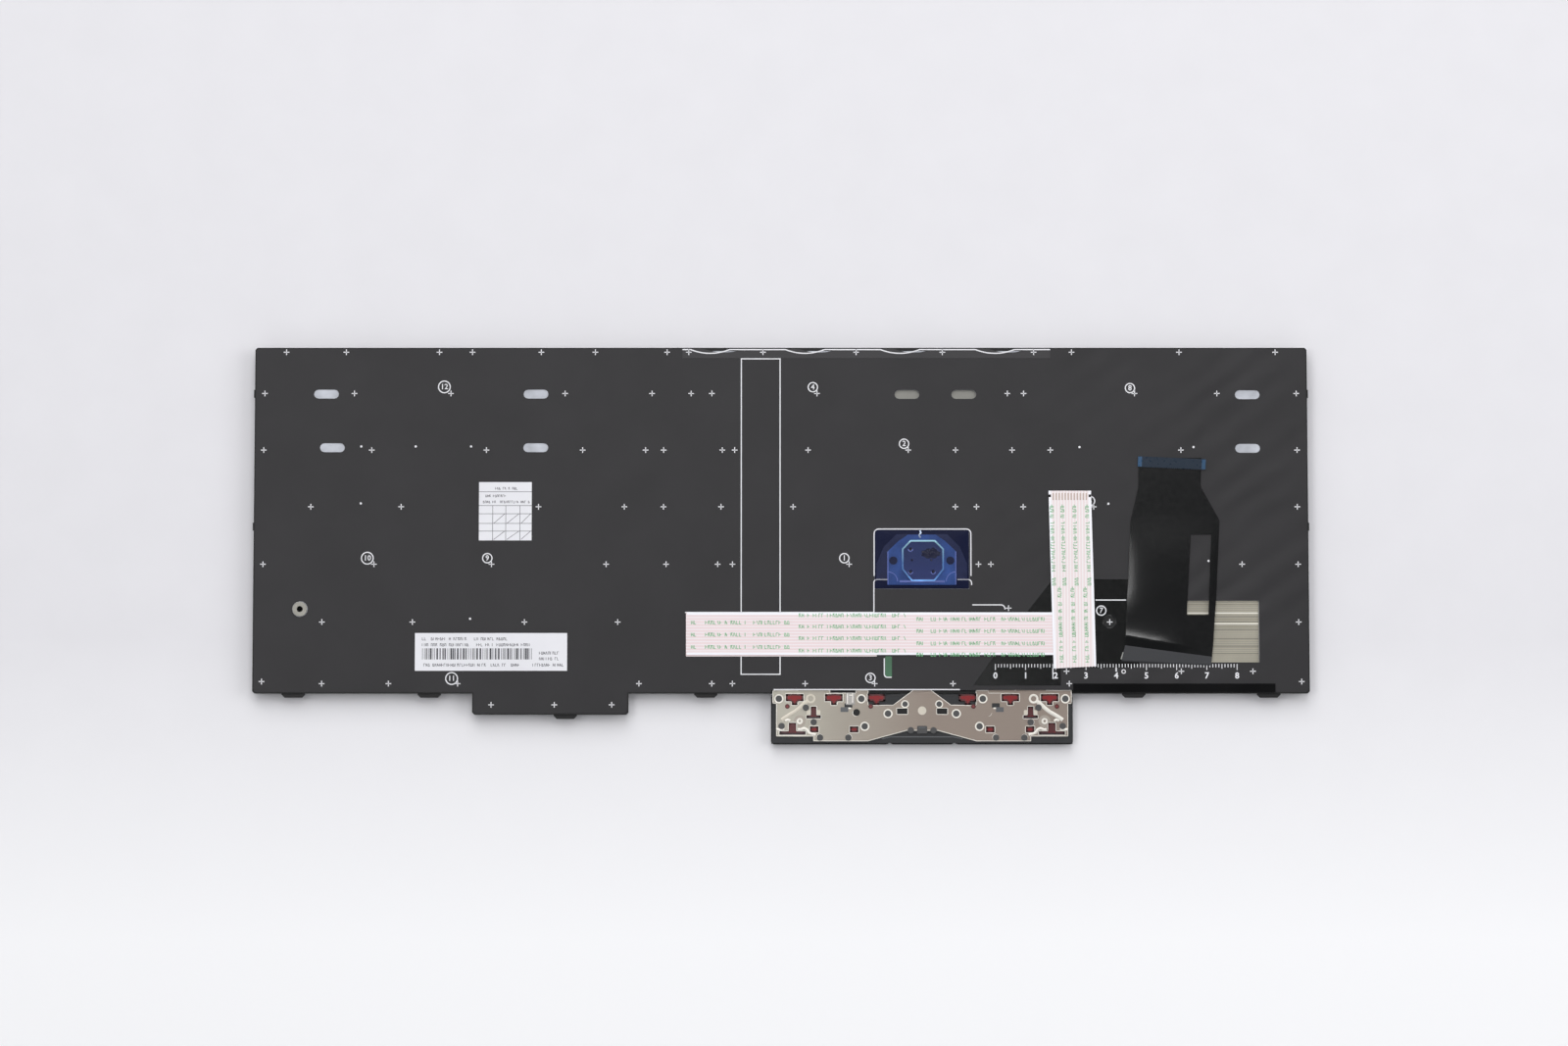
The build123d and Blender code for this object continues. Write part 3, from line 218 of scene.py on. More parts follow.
def slab(outline: Array, low: float, high: float, bevel: float = 0.0) -> Shape:
    """Stands an anticlockwise outline up from low to high, with its upper edge cut back by bevel."""
    rings = [raised(outline, low), raised(outline, high - bevel)]
    if bevel:
        rings.append(raised(outline + bevel * mitres(outline, True), high))
    return loft(np.stack(rings))


def disc(size: float, low: float, high: float, sides: int = 20) -> Shape:
    """Stands a round of this diameter up from low to high."""
    return slab(oval(size, size, sides), low, high)


def half_widths(lines: Array, width: float) -> Array:
    """Gives, for each (x0, y0, x1, y1) line, the step to its left by half this width."""
    run = lines[:, 2:] - lines[:, :2]
    return np.stack([-run[:, 1], run[:, 0]], -1) / np.linalg.norm(run, axis=1, keepdims=True) * width / 2


def strokes(lines: Array, width: float, low: float, high: float) -> Shape:
    """Draws straight bars.

    Args:
        lines: one (x0, y0, x1, y1) for each bar's middle line.
        width: the bars' width.
        low: height of their underside.
        high: height of their upper side.

    Returns:
        One flat box for each line.
    """
    lines = np.asarray(lines, float)
    start, end = lines[:, :2], lines[:, 2:]
    side = half_widths(lines, width)
    foot = np.stack([start - side, end - side, end + side, start + side], 1)
    levels = [np.dstack([foot, np.full(foot.shape[:2], z)]) for z in (low, high)]
    pattern = np.array([[3, 2, 1, 0], [4, 5, 6, 7], [0, 1, 5, 4], [1, 2, 6, 5], [2, 3, 7, 6], [3, 0, 4, 7]])
    faces = (np.arange(len(lines)) * 8)[:, None, None] + pattern[None]
    return Shape(np.concatenate(levels, 1).reshape(-1, 3), [faces.reshape(-1, 4)], [0])


def ribbon(path: Array, width: float, low: float, high: float, closed: bool = False) -> Shape:
    """Draws a flat strip of even width along a path, mitred at its bends."""
    path = np.asarray(path, float)
    side = width / 2 * mitres(path, closed)
    right, left = path - side, path + side
    section = [raised(right, low), raised(left, low), raised(left, high), raised(right, high)]
    rings = np.stack(section, 1)
    faces = [ring_quads(len(path), 4, closed)]
    if not closed:
        ends = np.arange(4)[None]
        faces += [ends[:, ::-1], ends + (len(path) - 1) * 4]
    return Shape(rings.reshape(-1, 3), faces, [0] * len(faces))


def turned(profile: list[tuple[float, float]], sides: int = 24, looped: bool = False) -> Shape:
    """Turns a profile round the Z axis.

    Args:
        profile: (radius, z) pairs from the lowest point out and up.
        sides: how many sides the round has.
        looped: whether the profile closes on itself, as a collar's does.

    Returns:
        The turned surface, closed.
    """
    turn = np.arange(sides) * 2 * math.pi / sides
    radius, z = np.asarray(profile, float).T[:, :, None]
    rings = np.stack([radius * np.cos(turn), radius * np.sin(turn), z + 0 * turn], -1)
    if looped:
        return Shape(rings.reshape(-1, 3), [ring_quads(len(profile), sides, True)], [0])
    return loft(rings)


def leaf(middle: Array, across: Array, thickness: float) -> Shape:
    """Gives thickness to a strip of sheet.

    Args:
        middle: rows of points (R, C, 3) on the sheet's underside, each row from left to right.
        across: the sheet's upward direction at each row (R, 3), or one for all rows (1, 3).
        thickness: the sheet's thickness.

    Returns:
        The closed strip: the underside and the upper side as one loop of points for each row.
    """
    upper = middle + thickness * across[:, None]
    return loft(np.concatenate([middle, upper[:, ::-1]], 1))


CAP_SHARE = 0.7


def letters(text: str, height: float, low: float, high: float, weight: float = 0.0) -> Shape:
    """Sets type centred on the origin.

    Args:
        text: the words.
        height: height of a capital.
        low: height of the type's underside.
        high: height of its face.
        weight: how far each stroke is fattened.

    Returns:
        The type as closed solids, read from above.
    """
    curve = bpy.data.curves.new("type", "FONT")
    curve.body, curve.align_x, curve.align_y = text, "CENTER", "CENTER"
    curve.size, curve.resolution_u = height / CAP_SHARE, 2
    curve.extrude, curve.offset = (high - low) / 2, weight
    holder = bpy.data.objects.new("type", curve)
    mesh = bpy.data.meshes.new_from_object(holder)
    points = np.empty(len(mesh.vertices) * 3)
    mesh.vertices.foreach_get("co", points)
    starts, sizes = np.empty((2, len(mesh.polygons)), np.int32)
    mesh.polygons.foreach_get("loop_start", starts)
    mesh.polygons.foreach_get("loop_total", sizes)
    corners = np.empty(len(mesh.loops), np.int32)
    mesh.loops.foreach_get("vertex_index", corners)
    faces = [corners[starts[sizes == n][:, None] + np.arange(n)] for n in np.unique(sizes)]
    bpy.data.meshes.remove(mesh)
    bpy.data.objects.remove(holder)
    bpy.data.curves.remove(curve)
    shape = Shape(points.reshape(-1, 3), faces, [0] * len(faces))
    return shape.moved(z=(low + high) / 2)


def linear(level: Level) -> Array:
    """Turns 8-bit colour levels into the linear colour that shaders take."""
    share = np.array(level) / 255
    curve = np.where(share <= 0.04045, share / 12.92, ((share + 0.055) / 1.055) ** 2.4)
    return np.append(curve, 1.0)


class Grain(Enum):
    """How a surface's fine pattern runs: stretch along X, Y and Z, and scale for each metre."""

    MOULDED = ((1.0, 1.0, 1.0), 5000.0)
    BRUSHED = ((0.05, 1.0, 1.0), 3500.0)
    BRUSHED_DOWN = ((1.0, 0.05, 1.0), 3500.0)
    SMOOTH = ((1.0, 1.0, 1.0), 700.0)
    FIBROUS = ((1.0, 0.4, 1.0), 3000.0)


class Paint:
    """Node work of one material round its principled shader."""

    MIX_FACTOR, MIX_FIRST, MIX_SECOND, MIX_RESULT = 0, 6, 7, 2

    def __init__(self, name: str) -> None:
        """Starts a material."""
        self.material = bpy.data.materials.new(name)
        self.material.use_nodes = True
        self.tree = self.material.node_tree
        self.shader = self.tree.nodes["Principled BSDF"]
        self.space = self.add("ShaderNodeTexCoord").outputs["Object"]

    def add(self, kind: str, sockets: dict | None = None, **settings: object) -> bpy.types.Node:
        """Adds a node.

        Args:
            kind: the node's type.
            sockets: values, or sockets to link from, by input name or number.
            settings: the node's own settings.

        Returns:
            The new node.
        """
        node = self.tree.nodes.new(kind)
        for name, value in settings.items():
            setattr(node, name, value)
        for name, value in (sockets or {}).items():
            self.feed(node.inputs[name], value)
        return node

    def feed(self, socket: bpy.types.NodeSocket, value: object) -> None:
        """Links a socket to another, or sets its value."""
        if isinstance(value, bpy.types.NodeSocket):
            self.tree.links.new(value, socket)
        else:
            socket.default_value = value

    def noise(self, scale: float, stretch: tuple = (1.0, 1.0, 1.0), turn: float = 0.0) -> bpy.types.NodeSocket:
        """Gives cloud-like noise from 0 to 1 in the object's own space."""
        sockets = {"Vector": self.space, "Scale": stretch, "Rotation": (0.0, 0.0, turn)}
        mapped = self.add("ShaderNodeMapping", sockets).outputs[0]
        return self.add("ShaderNodeTexNoise", {"Vector": mapped, "Scale": scale, "Detail": 3.0}).outputs[0]

    def bands(self, pitch: float, turn: float, wander: float = 0.0) -> bpy.types.NodeSocket:
        """Gives stripes from 0 to 1 with this pitch in millimetres; turn is the angle of their normal."""
        mapped = self.add("ShaderNodeMapping", {"Vector": self.space, "Rotation": (0.0, 0.0, -turn)}).outputs[0]
        scale = 2 * math.pi / (20 * pitch * MM)
        sockets = {"Vector": mapped, "Scale": scale, "Distortion": wander}
        return self.add("ShaderNodeTexWave", sockets, bands_direction="X").outputs["Fac"]

    def span(self, source: bpy.types.NodeSocket, low: float, high: float, start: float = 0.3,
             end: float = 0.7) -> bpy.types.NodeSocket:
        """Stretches the part of a value from start to end over low to high."""
        sockets = {"Value": source, "From Min": start, "From Max": end, "To Min": low, "To Max": high}
        return self.add("ShaderNodeMapRange", sockets).outputs[0]

    def blend(self, factor: bpy.types.NodeSocket, first: object, second: object) -> bpy.types.NodeSocket:
        """Blends two colours by a factor."""
        sockets = {self.MIX_FACTOR: factor, self.MIX_FIRST: first, self.MIX_SECOND: second}
        return self.add("ShaderNodeMix", sockets, data_type="RGBA").outputs[self.MIX_RESULT]

    def zone(self, axis: str, start: float, end: float) -> bpy.types.NodeSocket:
        """Gives a ramp from 0 to 1 as X, Y or Z goes from start to end in millimetres."""
        place = self.add("ShaderNodeSeparateXYZ", {0: self.space}).outputs[axis]
        sockets = {"Value": place, "From Min": start * MM, "From Max": end * MM}
        return self.add("ShaderNodeMapRange", sockets).outputs[0]

    def product(self, first: bpy.types.NodeSocket, second: bpy.types.NodeSocket) -> bpy.types.NodeSocket:
        """Multiplies two values."""
        return self.add("ShaderNodeMath", {0: first, 1: second}, operation="MULTIPLY").outputs[0]

    def relief(self, height: bpy.types.NodeSocket, depth: float,
               under: bpy.types.NodeSocket | None = None) -> bpy.types.NodeSocket:
        """Turns a height into a bump of this depth in millimetres, laid over another bump."""
        sockets: dict = {"Height": height, "Distance": depth * MM}
        if under is not None:
            sockets["Normal"] = under
        return self.add("ShaderNodeBump", sockets).outputs[0]


@dataclass(frozen=True)
class Finish:
    """One surface: a colour that drifts, a roughness that follows a grain, and the grain's relief."""

    name: str
    colour: Level
    drift: float = 0.1
    roughness: tuple[float, float] = (0.45, 0.6)
    grain: Grain = Grain.MOULDED
    relief: float = 0.008
    metallic: float = 0.0
    specular: float = 0.5
    coat: float = 0.0
    alpha: float = 1.0
    cloud: float = 55.0

    def material(self) -> bpy.types.Material:
        """Gives the finish's material, made when first asked for."""
        name = f"{self.name}_finish"
        made = bpy.data.materials.get(name)
        if made is None:
            paint = Paint(name)
            self.lay(paint)
            made = paint.material
        return made

    def shades(self) -> tuple[Array, Array]:
        """Gives the darker and the lighter end of the colour's drift."""
        colour = linear(self.colour)
        scale = np.array([self.drift, self.drift, self.drift, 0.0])
        return colour * (1 - scale), np.minimum(colour * (1 + scale), 1.0)

    def lay(self, paint: Paint) -> None:
        """Sets the shader up."""
        stretch, scale = self.grain.value
        fine = paint.noise(scale, stretch)
        paint.feed(paint.shader.inputs["Base Color"], self.tint(paint))
        paint.feed(paint.shader.inputs["Roughness"], paint.span(fine, *self.roughness))
        paint.feed(paint.shader.inputs["Normal"], self.surface(paint, paint.relief(fine, self.relief)))
        for socket, value in (("Metallic", self.metallic), ("Specular IOR Level", self.specular),
                              ("Coat Weight", self.coat), ("Alpha", self.alpha)):
            paint.feed(paint.shader.inputs[socket], value)

    def tint(self, paint: Paint) -> bpy.types.NodeSocket:
        """Gives the drifting colour."""
        return paint.blend(paint.span(paint.noise(self.cloud), 0.0, 1.0), *self.shades())

    def surface(self, paint: Paint, grain: bpy.types.NodeSocket) -> bpy.types.NodeSocket:
        """Gives the relief over the grain: none here."""
        return grain


@dataclass(frozen=True)
class WrinkledFinish(Finish):
    """A film with soft slanting wrinkles that fade in towards one end."""

    wrinkle: float = 0.12
    pitch: float = 9.0
    slant: float = 2.2
    fade: tuple[float, float] = (60.0, 150.0)

    def surface(self, paint: Paint, grain: bpy.types.NodeSocket) -> bpy.types.NodeSocket:
        """Lays wandering bands over the grain, stronger along X."""
        bands = paint.bands(self.pitch, self.slant, 3.0)
        patches = paint.span(paint.noise(22.0), 0.0, 1.0, 0.4, 0.65)
        folds = paint.product(paint.product(bands, patches), paint.zone("X", *self.fade))
        swell = paint.relief(paint.noise(30.0), self.wrinkle, grain)
        return paint.relief(folds, self.wrinkle, swell)


@dataclass(frozen=True)
class StripedFinish(Finish):
    """A sheet with conductors under its skin: stripes of a second colour at an even pitch."""

    stripe: Level = (255, 255, 255)
    pitch: float = 1.0
    turn: float = 0.0

    def tint(self, paint: Paint) -> bpy.types.NodeSocket:
        """Blends the drifting colour with the stripes."""
        bands = paint.span(paint.bands(self.pitch, self.turn), 0.0, 1.0, 0.35, 0.65)
        return paint.blend(bands, super().tint(paint), linear(self.stripe))


@dataclass(frozen=True)
class LayeredFinish(Finish):
    """A surface that turns into a second colour along X, Y or Z."""

    second: Level = (0, 0, 0)
    axis: str = "Z"
    turn_over: tuple[float, float] = (0.0, 1.0)

    def tint(self, paint: Paint) -> bpy.types.NodeSocket:
        """Blends the drifting colour into the second one over the stretch given."""
        return paint.blend(paint.zone(self.axis, *self.turn_over), super().tint(paint), linear(self.second))


FILM = WrinkledFinish("printed_film", (43, 42, 44), 0.07, (0.44, 0.52), relief=0.004, specular=0.25, wrinkle=0.2)
TAPE = Finish("edge_tape", (51, 50, 52), 0.06, (0.38, 0.46), relief=0.003, specular=0.3)
INK = Finish("white_print", (222, 222, 226), 0.04, (0.5, 0.6), relief=0.002)
BLACK_PLASTIC = Finish("moulded_black", (21, 21, 22), 0.15, (0.42, 0.58), specular=0.3)
KEY_PLASTIC = Finish("key_plastic", (38, 38, 40), 0.08, (0.5, 0.62), relief=0.012)
LEGEND = Finish("key_legend", (228, 228, 230), 0.03, (0.45, 0.55), relief=0.002)
PLATE_STEEL = Finish("bare_sheet", (176, 179, 187), 0.2, (0.42, 0.55), Grain.BRUSHED, 0.004, 0.2, cloud=160.0)
MEMBRANE = Finish("membrane_sheet", (128, 127, 121), 0.05, (0.4, 0.5), Grain.SMOOTH, 0.004)
TRACE = Finish("silver_trace", (160, 155, 140), 0.12, (0.35, 0.5), Grain.BRUSHED, 0.003, 0.3)
TRACE_DARK = Finish("dark_trace", (118, 114, 102), 0.1, (0.4, 0.5), Grain.BRUSHED, 0.003)
TRACE_BRIGHT = Finish("bright_trace", (222, 219, 208), 0.05, (0.35, 0.45), Grain.BRUSHED, 0.003, 0.2)
BOSS_STEEL = Finish("boss_steel", (137, 135, 128), 0.15, (0.35, 0.5), Grain.SMOOTH, 0.004, 0.4)
PAPER = Finish("label_paper", (224, 224, 229), 0.03, (0.6, 0.75), Grain.FIBROUS, 0.004)
LABEL_INK = Finish("label_ink", (68, 68, 74), 0.1, (0.55, 0.65), relief=0.002)
BAR_INK = Finish("bar_ink", (44, 44, 52), 0.1, (0.55, 0.65), relief=0.002)
CABLE_RUN = StripedFinish("cable_run", (230, 220, 223), 0.02, (0.32, 0.42), Grain.SMOOTH, 0.004,
                          stripe=(226, 206, 208), pitch=1.0, turn=math.pi / 2)
CABLE_RISE = StripedFinish("cable_rise", (232, 226, 227), 0.02, (0.32, 0.42), Grain.SMOOTH, 0.004,
                           stripe=(226, 211, 212), pitch=1.0)
CABLE_EDGE = Finish("cable_edge", (238, 238, 244), 0.02, (0.3, 0.4), Grain.SMOOTH, 0.003)
CONTACT = Finish("tinned_contact", (186, 168, 160), 0.1, (0.3, 0.4), Grain.BRUSHED_DOWN, 0.003, 0.3)
GREEN_INK = Finish("green_print", (112, 178, 128), 0.08, (0.5, 0.6), relief=0.002)
GREEN_SLOT = Finish("green_lacquer", (52, 96, 68), 0.2, (0.3, 0.4), Grain.SMOOTH, 0.004)
FLEX = WrinkledFinish("black_flex", (6, 7, 8), 0.1, (0.17, 0.21), Grain.SMOOTH, 0.002, specular=0.45, wrinkle=0.01)
FLEX_EDGE_GLINT = Finish("flex_edge_glint", (150, 150, 146), 0.1, (0.4, 0.5), Grain.SMOOTH, 0.003)
# The fold's lighter grey is a painted reflection on the same black flex.
FLEX_FOOT_SHEEN = Finish("flex_fold_sheen", (52, 53, 56), 0.06, (0.4, 0.5), Grain.SMOOTH, 0.003, specular=0.3)
PATCH = WrinkledFinish("gloss_patch", (14, 15, 15), 0.06, (0.14, 0.2), Grain.SMOOTH, 0.002, specular=0.35,
                       wrinkle=0.015)
STIFFENER = Finish("blue_stiffener", (20, 36, 52), 0.12, (0.25, 0.35), Grain.SMOOTH, 0.004, specular=0.3)
STIFFENER_TAB = Finish("blue_tab", (22, 66, 100), 0.1, (0.25, 0.35), Grain.SMOOTH, 0.004)
FOAM = Finish("foam", (14, 14, 15), 0.3, (0.85, 0.95), relief=0.05, specular=0.08)
# The near-black lining of the stick's window is painted shade.
STICK_RECESS_SHADE = Finish("stick_recess_with_shade", (8, 10, 20), 0.15, (0.5, 0.6), Grain.SMOOTH, 0.004, specular=0.2)
CARRIER = Finish("carrier_sheet", (58, 96, 172), 0.25, (0.35, 0.5), Grain.BRUSHED, 0.006, 0.1, cloud=240.0)
# Pale blue strokes on the carrier's edges, hole rims and foot bar: painted highlights.
CARRIER_HIGHLIGHT = Finish("carrier_highlight", (136, 154, 236), 0.15, (0.35, 0.45), Grain.SMOOTH, 0.003, cloud=200.0)
SENSOR = LayeredFinish("sensor_substrate", (42, 58, 108), 0.12, (0.45, 0.55), Grain.SMOOTH, 0.004, cloud=140.0,
                       second=(50, 64, 122), axis="Y", turn_over=(-3.0, -9.0))
# The octagon's bright rim, paler towards +Y, is a painted highlight.
SENSOR_RIM_HIGHLIGHT = LayeredFinish("sensor_rim_highlight", (108, 164, 236), 0.2, (0.2, 0.3), Grain.SMOOTH, 0.003, cloud=200.0,
                            second=(180, 236, 255), axis="Y", turn_over=(-6.0, 0.6))
CARRIER_SHADE = Finish("carrier_shade", (20, 30, 64), 0.3, (0.4, 0.5), Grain.SMOOTH, 0.004, cloud=260.0)
CREASE = Finish("film_crease", (198, 214, 236), 0.1, (0.3, 0.4), Grain.SMOOTH, 0.003)
DARK_METAL = Finish("dark_rivet", (20, 26, 48), 0.15, (0.35, 0.5), Grain.SMOOTH, 0.004, 0.3)
# Dark glue, and also the painted shade inside holes, pits and cable notches.
GLUE_AND_GAP_SHADE = Finish("dark_glue_and_gap_shade", (14, 10, 10), 0.2, (0.2, 0.3), Grain.SMOOTH, 0.01)
BLUE_FILM = WrinkledFinish("blue_film", (14, 26, 74), 0.1, (0.3, 0.4), Grain.SMOOTH, 0.002, specular=0.12, alpha=0.2,
                           wrinkle=0.02, pitch=5.0, fade=(25.0, 30.0))
STICK_RUBBER = Finish("stick_rubber", (150, 30, 34), 0.12, (0.7, 0.85), relief=0.02)
# The bracket's colour darkens along X from 2 mm to 48 mm: painted shading of the same metal.
BRACKET = LayeredFinish("bracket_sheet", (169, 165, 154), 0.1, (0.34, 0.48), Grain.BRUSHED, 0.004, 0.55, cloud=30.0,
                        second=(139, 127, 118), axis="X", turn_over=(2.0, 48.0))
# White strokes and rings on the bracket's edges, stake rims, ridges, stamp, loops and clip glints: painted
# highlights.
BRACKET_HIGHLIGHT = Finish("painted_edge_highlight", (226, 222, 214), 0.06, (0.3, 0.4), Grain.SMOOTH, 0.003, 0.3)
BRACKET_SHADE = Finish("stamped_ring_shade", (160, 152, 143), 0.06, (0.36, 0.5), Grain.SMOOTH, 0.004, 0.5)
# Paler metal on the left ridge and loop, the lit slopes and the hub disc: painted soft highlights.
BRACKET_SOFT_HIGHLIGHT = Finish("soft_painted_highlight", (200, 193, 180), 0.04, (0.4, 0.5), Grain.SMOOTH, 0.004, 0.3)
STAKE = Finish("staked_post", (66, 66, 67), 0.15, (0.5, 0.65))
FRAME_PLASTIC = Finish("frame_plastic", (42, 43, 45), 0.15, (0.42, 0.58), specular=0.3)
CLIP = Finish("folded_clip", (84, 86, 90), 0.1, (0.4, 0.55))
RED_PLASTIC = LayeredFinish("red_plastic", (20, 20, 21), 0.15, (0.3, 0.4), specular=0.3, second=(126, 28, 32),
                            turn_over=(2.7, 2.8))
RED_SHADE = Finish("red_shade", (74, 18, 22), 0.15, (0.3, 0.4))
RED_DEEP = Finish("red_deep", (40, 16, 22), 0.15, (0.3, 0.4))
RED_SPOT = Finish("red_hole", (120, 36, 36), 0.15, (0.3, 0.4))
CLEAR_PLASTIC = Finish("clear_clip", (176, 174, 172), 0.12, (0.1, 0.2), Grain.SMOOTH, 0.004, alpha=0.55)
DOME_RUBBER = Finish("dome_rubber", (212, 212, 206), 0.06, (0.5, 0.65), Grain.SMOOTH, 0.006)
LINK_PLASTIC = Finish("link_plastic", (205, 204, 198), 0.05, (0.4, 0.55))
# The floor is darker from Y = -30 mm towards the function row and lighter below Y = -130 mm: painted shade.
SHADED_FLOOR = LayeredFinish("studio_floor_with_painted_shade", (221, 220, 224), 0.01, (0.6, 0.7), Grain.SMOOTH, 0.0, specular=0.2,
                      second=(243, 243, 245), axis="Y", turn_over=(-30.0, -130.0))


class Frame:
    """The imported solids: their objects, and their places in millimetres."""

    def __init__(self) -> None:
        """Loads the solids and keeps the box round all of them."""
        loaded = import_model()
        self.solid_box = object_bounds()
        self.nodes = loaded["nodes"]
        self.joints = {joint["child"]: joint["name"] for joint in loaded["joints"]}
        self.top_edge = self.box("bezel")[1][1]

    def box(self, node: str) -> tuple[Array, Array]:
        """Gives a node's lowest and highest corner."""
        low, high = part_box(node)
        return np.array(low) / MM, np.array(high) / MM

    def top(self, node: str) -> float:
        """Gives the height of a node's highest point."""
        return self.box(node)[1][2]

    def foot(self, node: str) -> float:
        """Gives the height of a node's lowest point."""
        return self.box(node)[0][2]

    def middle(self, node: str) -> Array:
        """Gives the middle of a node's box."""
        return sum(self.box(node)) / 2

    def y(self, v: float | Array) -> float | Array:
        """Turns a distance from the function-row edge into Y."""
        return self.top_edge - v

    def plan(self, places: Array) -> Array:
        """Turns (x, v) places into X and Y."""
        return np.column_stack([places[:, 0], self.y(places[:, 1])])

    def dress(self, finish: Finish, *nodes: str) -> None:
        """Gives nodes that stay in view their finish."""
        for node in nodes:
            mesh = self.nodes[node].data
            mesh.materials.clear()
            mesh.materials.append(finish.material())
            LOG.info("%s wears %s", node, finish.name)

    def triangles(self, node: str) -> Array:
        """Gives the corners of a node's triangles (T, 3, 3)."""
        mesh = self.nodes[node].data
        points = np.empty(len(mesh.vertices) * 3)
        mesh.vertices.foreach_get("co", points)
        mesh.calc_loop_triangles()
        corners = np.empty(len(mesh.loop_triangles) * 3, np.int32)
        mesh.loop_triangles.foreach_get("vertices", corners)
        return points.reshape(-1, 3)[corners.reshape(-1, 3)] / MM

    def flat_faces(self, node: str, z: float) -> Array:
        """Gives the plan of a node's triangles that lie flat at height z (T, 3, 2)."""
        triangles = self.triangles(node)
        return triangles[np.all(np.abs(triangles[:, :, 2] - z) < 0.01, 1)][:, :, :2]

    def rim_lines(self, node: str, z: float) -> Array:
        """Finds the edges round a flat face at height z, its windows among them: those of one triangle only."""
        flat = self.flat_faces(node, z)
        points, corners = np.unique(np.round(flat.reshape(-1, 2), 3), axis=0, return_inverse=True)
        corners = corners.reshape(-1, 3)
        edges = np.stack([corners, np.roll(corners, -1, 1)], -1).reshape(-1, 2)
        _, first, count = np.unique(np.sort(edges, 1), axis=0, return_index=True, return_counts=True)
        rim = edges[first[count == 1]]
        return np.concatenate([points[rim[:, 0]], points[rim[:, 1]]], 1)

    def inner_rim(self, node: str, z: float, width: float) -> Shape:
        """Follows the rim of a flat face at height z by bars of this width that lie inside it."""
        lines = self.rim_lines(node, z)
        return strokes(lines + np.tile(half_widths(lines, width), 2), width, z - 0.02, z + 0.01)

    def key_faces(self, node: str) -> Array:
        """Finds the touch faces of a block of keys: the box of each triangle at height 0.

        Returns:
            One (x0, y0, x1, y1) for each key, in reading order seen from the keys' side.
        """
        flat = self.flat_faces(node, 0.0)
        boxes = np.unique(np.round(np.concatenate([flat.min(1), flat.max(1)], 1), 2), axis=0)
        return boxes[np.lexsort((-boxes[:, 0], -np.round(centre(boxes)[:, 1], 0)))]


def put(name: str, data: bpy.types.ID) -> bpy.types.Object:
    """Puts a new object into the scene."""
    item = bpy.data.objects.new(name, data)
    bpy.context.scene.collection.objects.link(item)
    return item


def make_piece(name: str, shape: Shape, finishes: list[Finish], body: str = CHASSIS,
               replaces: tuple[str, ...] = (), crease: float = 35.0) -> bpy.types.Object:
    """Makes a piece of the scene.

    Args:
        name: the piece's name.
        shape: its surface.
        finishes: its finishes, in the order of the shape's finish numbers.
        body: the body that it rides on.
        replaces: the solids that it stands for.
        crease: the angle in degrees past which an edge stays sharp.

    Returns:
        The new object.
    """
    mesh = bpy.data.meshes.new(name)
    rows = [row for group in shape.faces for row in group.tolist()]
    mesh.from_pydata((shape.points * MM).tolist(), [], rows)
    tones = np.repeat(shape.tones, [len(group) for group in shape.faces]).astype(np.int32)
    mesh.polygons.foreach_set("material_index", tones)
    mesh.polygons.foreach_set("use_smooth", np.ones(len(rows), bool))
    mesh.set_sharp_from_angle(angle=math.radians(crease))
    for finish in finishes:
        mesh.materials.append(finish.material())
    mesh.update()
    piece = put(name, mesh)
    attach(piece, body)
    if replaces:
        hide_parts(*replaces)
    LOG.info("%s: %d faces", name, len(rows))
    return piece


